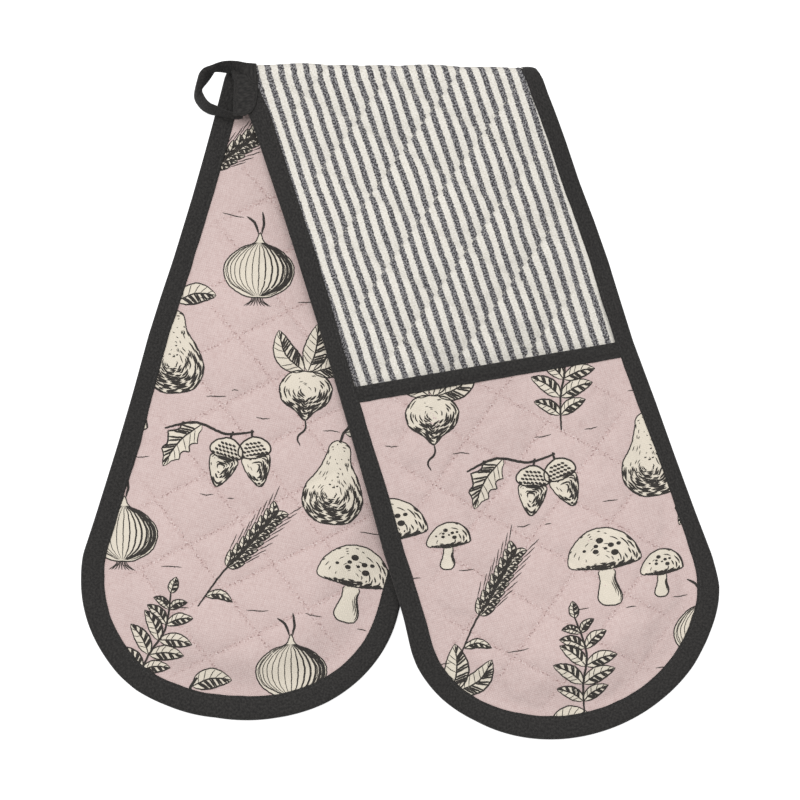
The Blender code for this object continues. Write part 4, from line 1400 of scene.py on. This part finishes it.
def ribbon(name, rows, width, body):
    """A flat tape with soft edges and a hem along each side, through rows of inner edge, crest and outer edge.

    Returns it with its length.
    """
    rows = list(zip(*(curve_through(line, LOOP_STEPS) for line in zip(*rows))))
    runs = reaches([row[1] for row in rows])
    bm, spots = tape_grid(runs, [2 * width * row / RIBBON_ROUND for row in range(RIBBON_ROUND + 1)])
    last = len(rows) - 1
    for vert, (column, row) in spots.items():
        turn = 2 * math.pi * row / RIBBON_ROUND
        flat = math.copysign(abs(math.cos(turn)) ** 0.6, math.cos(turn))
        round_side = math.copysign(abs(math.sin(turn)) ** 0.5, math.sin(turn))
        share = (flat + 1) / 2
        across = across_tape(rows[column], share + SHARE_STEP) - across_tape(rows[column], share - SHARE_STEP)
        run = across_tape(rows[min(column + 1, last)], share) - across_tape(rows[max(column - 1, 0)], share)
        up = run.cross(across).normalized()
        hem = 1 - 0.35 * math.exp(-((1 - abs(flat)) * width / 2 / HEM - 1) ** 2 * 4)
        vert.co = across_tape(rows[column], share) + up * round_side * TAPE_THICKNESS / 2 * hem
    bmesh.ops.remove_doubles(bm, verts=bm.verts, dist=CLEARANCE / 10)
    bmesh.ops.holes_fill(bm, edges=[edge for edge in bm.edges if edge.is_boundary], sides=0)
    bmesh.ops.recalc_face_normals(bm, faces=bm.faces)
    return add_piece(name, bm, TWILL, body), runs[-1]


def with_middle(points):
    """A row's inner edge, crest and outer edge. A row with no crest gets one halfway across."""
    return points if len(points) == 3 else [points[0], (points[0] + points[1]) / 2, points[1]]


def hanging_loop():
    rows = [with_middle([seen_at(*point) for point in row]) for row in LOOP_ROWS]
    loop, length = ribbon("hanging_loop_tape", rows, LOOP_TAPE_WIDTH, "loop")
    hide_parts("hanging_loop")
    rows = [with_middle([seen_at(across, down, TAB_HEIGHT) for across in sides]) for *sides, down in TAB_ROWS]
    width = (rows[0][2] - rows[0][0]).length
    tab, length = ribbon("loop_tab_tape", rows, width, "front_leg")
    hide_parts("loop_tab")


# Thread

STITCH_PITCH = 0.0032
STITCH_SHARE = 0.62
THREAD = 0.00042
STITCH_SINK = 0.00008
STITCH_BATCH = 60
SEAM_ROWS = 14
SEAM_OVERRUN = 1.2


def sew(bm, stitches):
    """Adds a row of stitches, each a short length of thread that humps between its two needle holes.

    A row is made by itself, because an operator takes longer on a larger mesh.
    """
    row = bmesh.new()
    for spot, run, normal in stitches:
        side = normal.cross(run).normalized()
        along = side.cross(normal) * STITCH_PITCH * STITCH_SHARE / 2
        turn = Matrix((along, side * THREAD / 2, normal * THREAD / 2)).transposed().to_4x4()
        bmesh.ops.create_uvsphere(row, u_segments=6, v_segments=4, radius=1,
                                  matrix=Matrix.Translation(spot - normal * STITCH_SINK) @ turn)
    mesh = mesh_of("row", row)
    bm.from_mesh(mesh)
    bpy.data.meshes.remove(mesh)


def quilting_thread(name, leg, surface, side, finish, first, last):
    """Rows of stitches along both sets of seams, between two distances past the mouth, laid on a ply."""
    bm = bmesh.new()
    reach = round(leg.length * SEAM_OVERRUN / STITCH_PITCH)
    for cos, sin in leg.seam_runs:
        run = Vector((cos, sin, 0))
        across = Vector((-sin, cos, 0))
        for row in range(-SEAM_ROWS, SEAM_ROWS + 1):
            stitches = []
            for step in range(-reach, reach):
                spot = across * row * SEAM_SPACING + run * step * STITCH_PITCH
                if spot.y > -STITCH_PITCH or leg.inside(spot.x, spot.y) < EDGE_BINDING - THREAD:
                    continue
                if not first < leg.past_mouth(spot.x, spot.y) < last:
                    continue
                above = spot + drawn(leg, spot.x, spot.y) + Vector((0, 0, side))
                hit, normal, _, _ = surface.ray_cast(above, Vector((0, 0, -side)))
                if hit is not None:
                    hit.z = max(hit.z, THREAD)
                    stitches.append((hit, run, normal if normal.z * side > 0 else -normal))
            sew(bm, stitches)
    add_piece(name, bm, finish, leg.body)


def binding_thread(leg):
    """The row of stitches that holds the tape, beside its lip, on both faces."""
    bm = bmesh.new()
    stitches = []
    depth = EDGE_BINDING - LIP_STITCH
    for point, inwards in edge_stations(leg, STITCH_PITCH, round(math.pi * leg.half_end / STITCH_PITCH)):
        place = point + inwards * depth
        if place.y > -STITCH_PITCH:
            continue
        low, high = rim_levels(leg, place.x, place.y)
        place += drawn(leg, place.x, place.y)
        run = Vector((inwards.y, -inwards.x, 0)).normalized()
        for side, level in ((1, high), (-1, low)):
            spot = Vector((place.x, place.y, max(level + side * (WRAP - GROOVE), THREAD / 2)))
            stitches.append((spot, run, Vector((0, 0, side))))
    for first in range(0, len(stitches), STITCH_BATCH):
        sew(bm, stitches[first:first + STITCH_BATCH])
    add_piece(f"{leg.name}_binding_stitches", bm, DARK_THREAD, leg.body)


# Camera, table and light

TABLE_SIZE = 6.0
TABLE_DROP = 0.0002
TABLE_GLOW = 0.82
TABLE_GREY = 0.55
LAMP_STRENGTH = 2.12
LAMP_WIDTH = math.radians(40)
LAMP_DIRECTION = Vector((0.14, -0.36, -1))
FILL_STRENGTH = 0.42


def set_camera():
    data = bpy.data.cameras.new("camera")
    data.lens = LENS
    data.sensor_width = SENSOR
    item = linked("camera", data)
    item.location = MID + Vector((0, 0, CAMERA_HEIGHT))
    bpy.context.scene.camera = item


def seen_directly(tree):
    """1 on rays from the camera, and on those that a gloss or a clear material sends on."""
    rays = add(tree, "ShaderNodeLightPath").outputs
    straight = math_of(tree, "ADD", rays["Is Camera Ray"], rays["Is Glossy Ray"])
    both = add(tree, "ShaderNodeMath", {0: straight, 1: rays["Is Transmission Ray"]}, operation="ADD", use_clamp=True)
    return both.outputs[0]


def set_table():
    """A plain white table. The camera sees it near white, and it keeps the glove's shadow."""
    bm = bmesh.new()
    bmesh.ops.create_grid(bm, x_segments=1, y_segments=1, size=TABLE_SIZE / 2)
    item = linked("table", mesh_of("table", bm))
    item.location.z = -TABLE_DROP
    material = bpy.data.materials.new("white_laminate")
    material.use_nodes = True
    tree = material.node_tree
    tree.nodes.clear()
    bright = math_of(tree, "MULTIPLY", seen_directly(tree), TABLE_GLOW)
    glow = add(tree, "ShaderNodeEmission", {"Color": (1, 1, 1, 1), "Strength": bright})
    matt = add(tree, "ShaderNodeBsdfDiffuse", {"Color": (TABLE_GREY, TABLE_GREY, TABLE_GREY, 1)})
    both = add(tree, "ShaderNodeAddShader", {0: glow.outputs[0], 1: matt.outputs[0]})
    add(tree, "ShaderNodeOutputMaterial", {"Surface": both.outputs[0]})
    item.data.materials.append(material)


def set_light():
    """A wide soft lamp above, leaning to the picture's top, and even fill all round. The background is white."""
    key = bpy.data.lights.new("soft_key", "SUN")
    key.energy = LAMP_STRENGTH
    key.angle = LAMP_WIDTH
    linked("soft_key", key).rotation_euler = LAMP_DIRECTION.to_track_quat("-Z", "Y").to_euler()
    world = bpy.data.worlds.new("studio")
    world.use_nodes = True
    tree = world.node_tree
    strength = math_of(tree, "MULTIPLY_ADD", seen_directly(tree), 1 - FILL_STRENGTH, FILL_STRENGTH)
    tree.nodes["Background"].inputs["Color"].default_value = (1, 1, 1, 1)
    tree.links.new(strength, tree.nodes["Background"].inputs["Strength"])
    bpy.context.scene.world = world
    bpy.context.scene.view_settings.view_transform = "Standard"


set_camera()
set_table()
set_light()

PINK = printed_cotton()
TICKING = striped_cotton()
TWILL = binding_tape()
BATTING = cotton_wadding()

PINK_THREAD = sewing_thread("pink_thread", "#DCC9C4", "#BD9F9B")
CREAM_THREAD = sewing_thread("cream_thread", "#E9E5DB", "#C9C4B8")
DARK_THREAD = sewing_thread("charcoal_thread", "#3A3938", "#232222")
INKS = (print_ink("cream_pigment", "#EAE2D3", "#DDD3C2", "#CDB5B0", 0.3),
        print_ink("black_pigment", "#43403D", "#2E2B29", "#8D8079", 0.5))

surfaces = {}
for leg in (BACK, FRONT):
    name = leg.name
    up = 1 if leg is FRONT else -1
    for cloth, finish, slot, side in (("outer", PINK, "printed_cotton", -up),
                                      ("lining", TICKING, "striped_cotton", up)):
        cells = FINE if side > 0 else COARSE
        item, surfaces[name, cloth] = quilted_ply(
            f"{name}_{cloth}_cloth", leg, STRIP_LAYER, side, finish, cells)
        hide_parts(f"{name}_{cloth}", f"fold_{cloth}")
        cells = FINE if leg is FRONT or cloth == "outer" else COARSE
        item, surfaces[name, "pocket_" + cloth] = quilted_ply(
            f"{name}_pocket_{cloth}_cloth", leg, POCKET_LAYER, -side, finish, cells)
        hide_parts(f"{name}_pocket_{cloth}")
    item = wadding(f"{name}_strip_wadding", leg, STRIP_LAYER)
    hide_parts(f"{name}_wadding", "fold_wadding")
    item = wadding(f"{name}_pocket_filling", leg, POCKET_LAYER)
    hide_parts(f"{name}_pocket_wadding")
    item = edge_binding(leg)
    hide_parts(f"{name}_edge_binding", "fold_binding_left", "fold_binding_right")
    item = mouth_binding(leg)
    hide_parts(f"{name}_mouth_binding")

hanging_loop()

# Each leg and ply, the side it faces, its thread, and how far past the pocket's mouth the stitches start and end
for leg, cloth, side, thread, first, last in (
        (FRONT, "lining", 1, CREAM_THREAD, -1, SEAM_SPACING),
        (FRONT, "pocket_outer", 1, PINK_THREAD, MOUTH_BAND, 1),
        (BACK, "outer", 1, PINK_THREAD, -1, 1),
        (FRONT, "outer", -1, PINK_THREAD, -1, 1),
        (BACK, "pocket_outer", -1, PINK_THREAD, MOUTH_BAND, 1),
        (BACK, "lining", -1, CREAM_THREAD, -1, SEAM_SPACING)):
    name = f"{leg.name}_{cloth}_stitches"
    quilting_thread(name, leg, surfaces[leg.name, cloth], side, thread, first, last)
for leg in (BACK, FRONT):
    binding_thread(leg)

drawings = []
for motif in MOTIFS:
    pen = Drawing()
    motif(pen)
    drawings.append(pen.finished())

# Each printed ply, the side it faces, how far down its leg the print starts, and the motif that it starts with
pocket_start = MOUTH_DISTANCE + MOUTH_BAND
for leg, cloth, side, start, shift in (
        (BACK, "outer", 1, 0.020, 0), (FRONT, "pocket_outer", 1, pocket_start + 0.010, 2),
        (FRONT, "outer", -1, 0.030, 4), (BACK, "pocket_outer", -1, pocket_start + 0.020, 1)):
    name = f"{leg.name}_{cloth.replace('outer', 'print')}"
    print_on(name, leg, surfaces[leg.name, cloth], side, start, leg.length, shift)
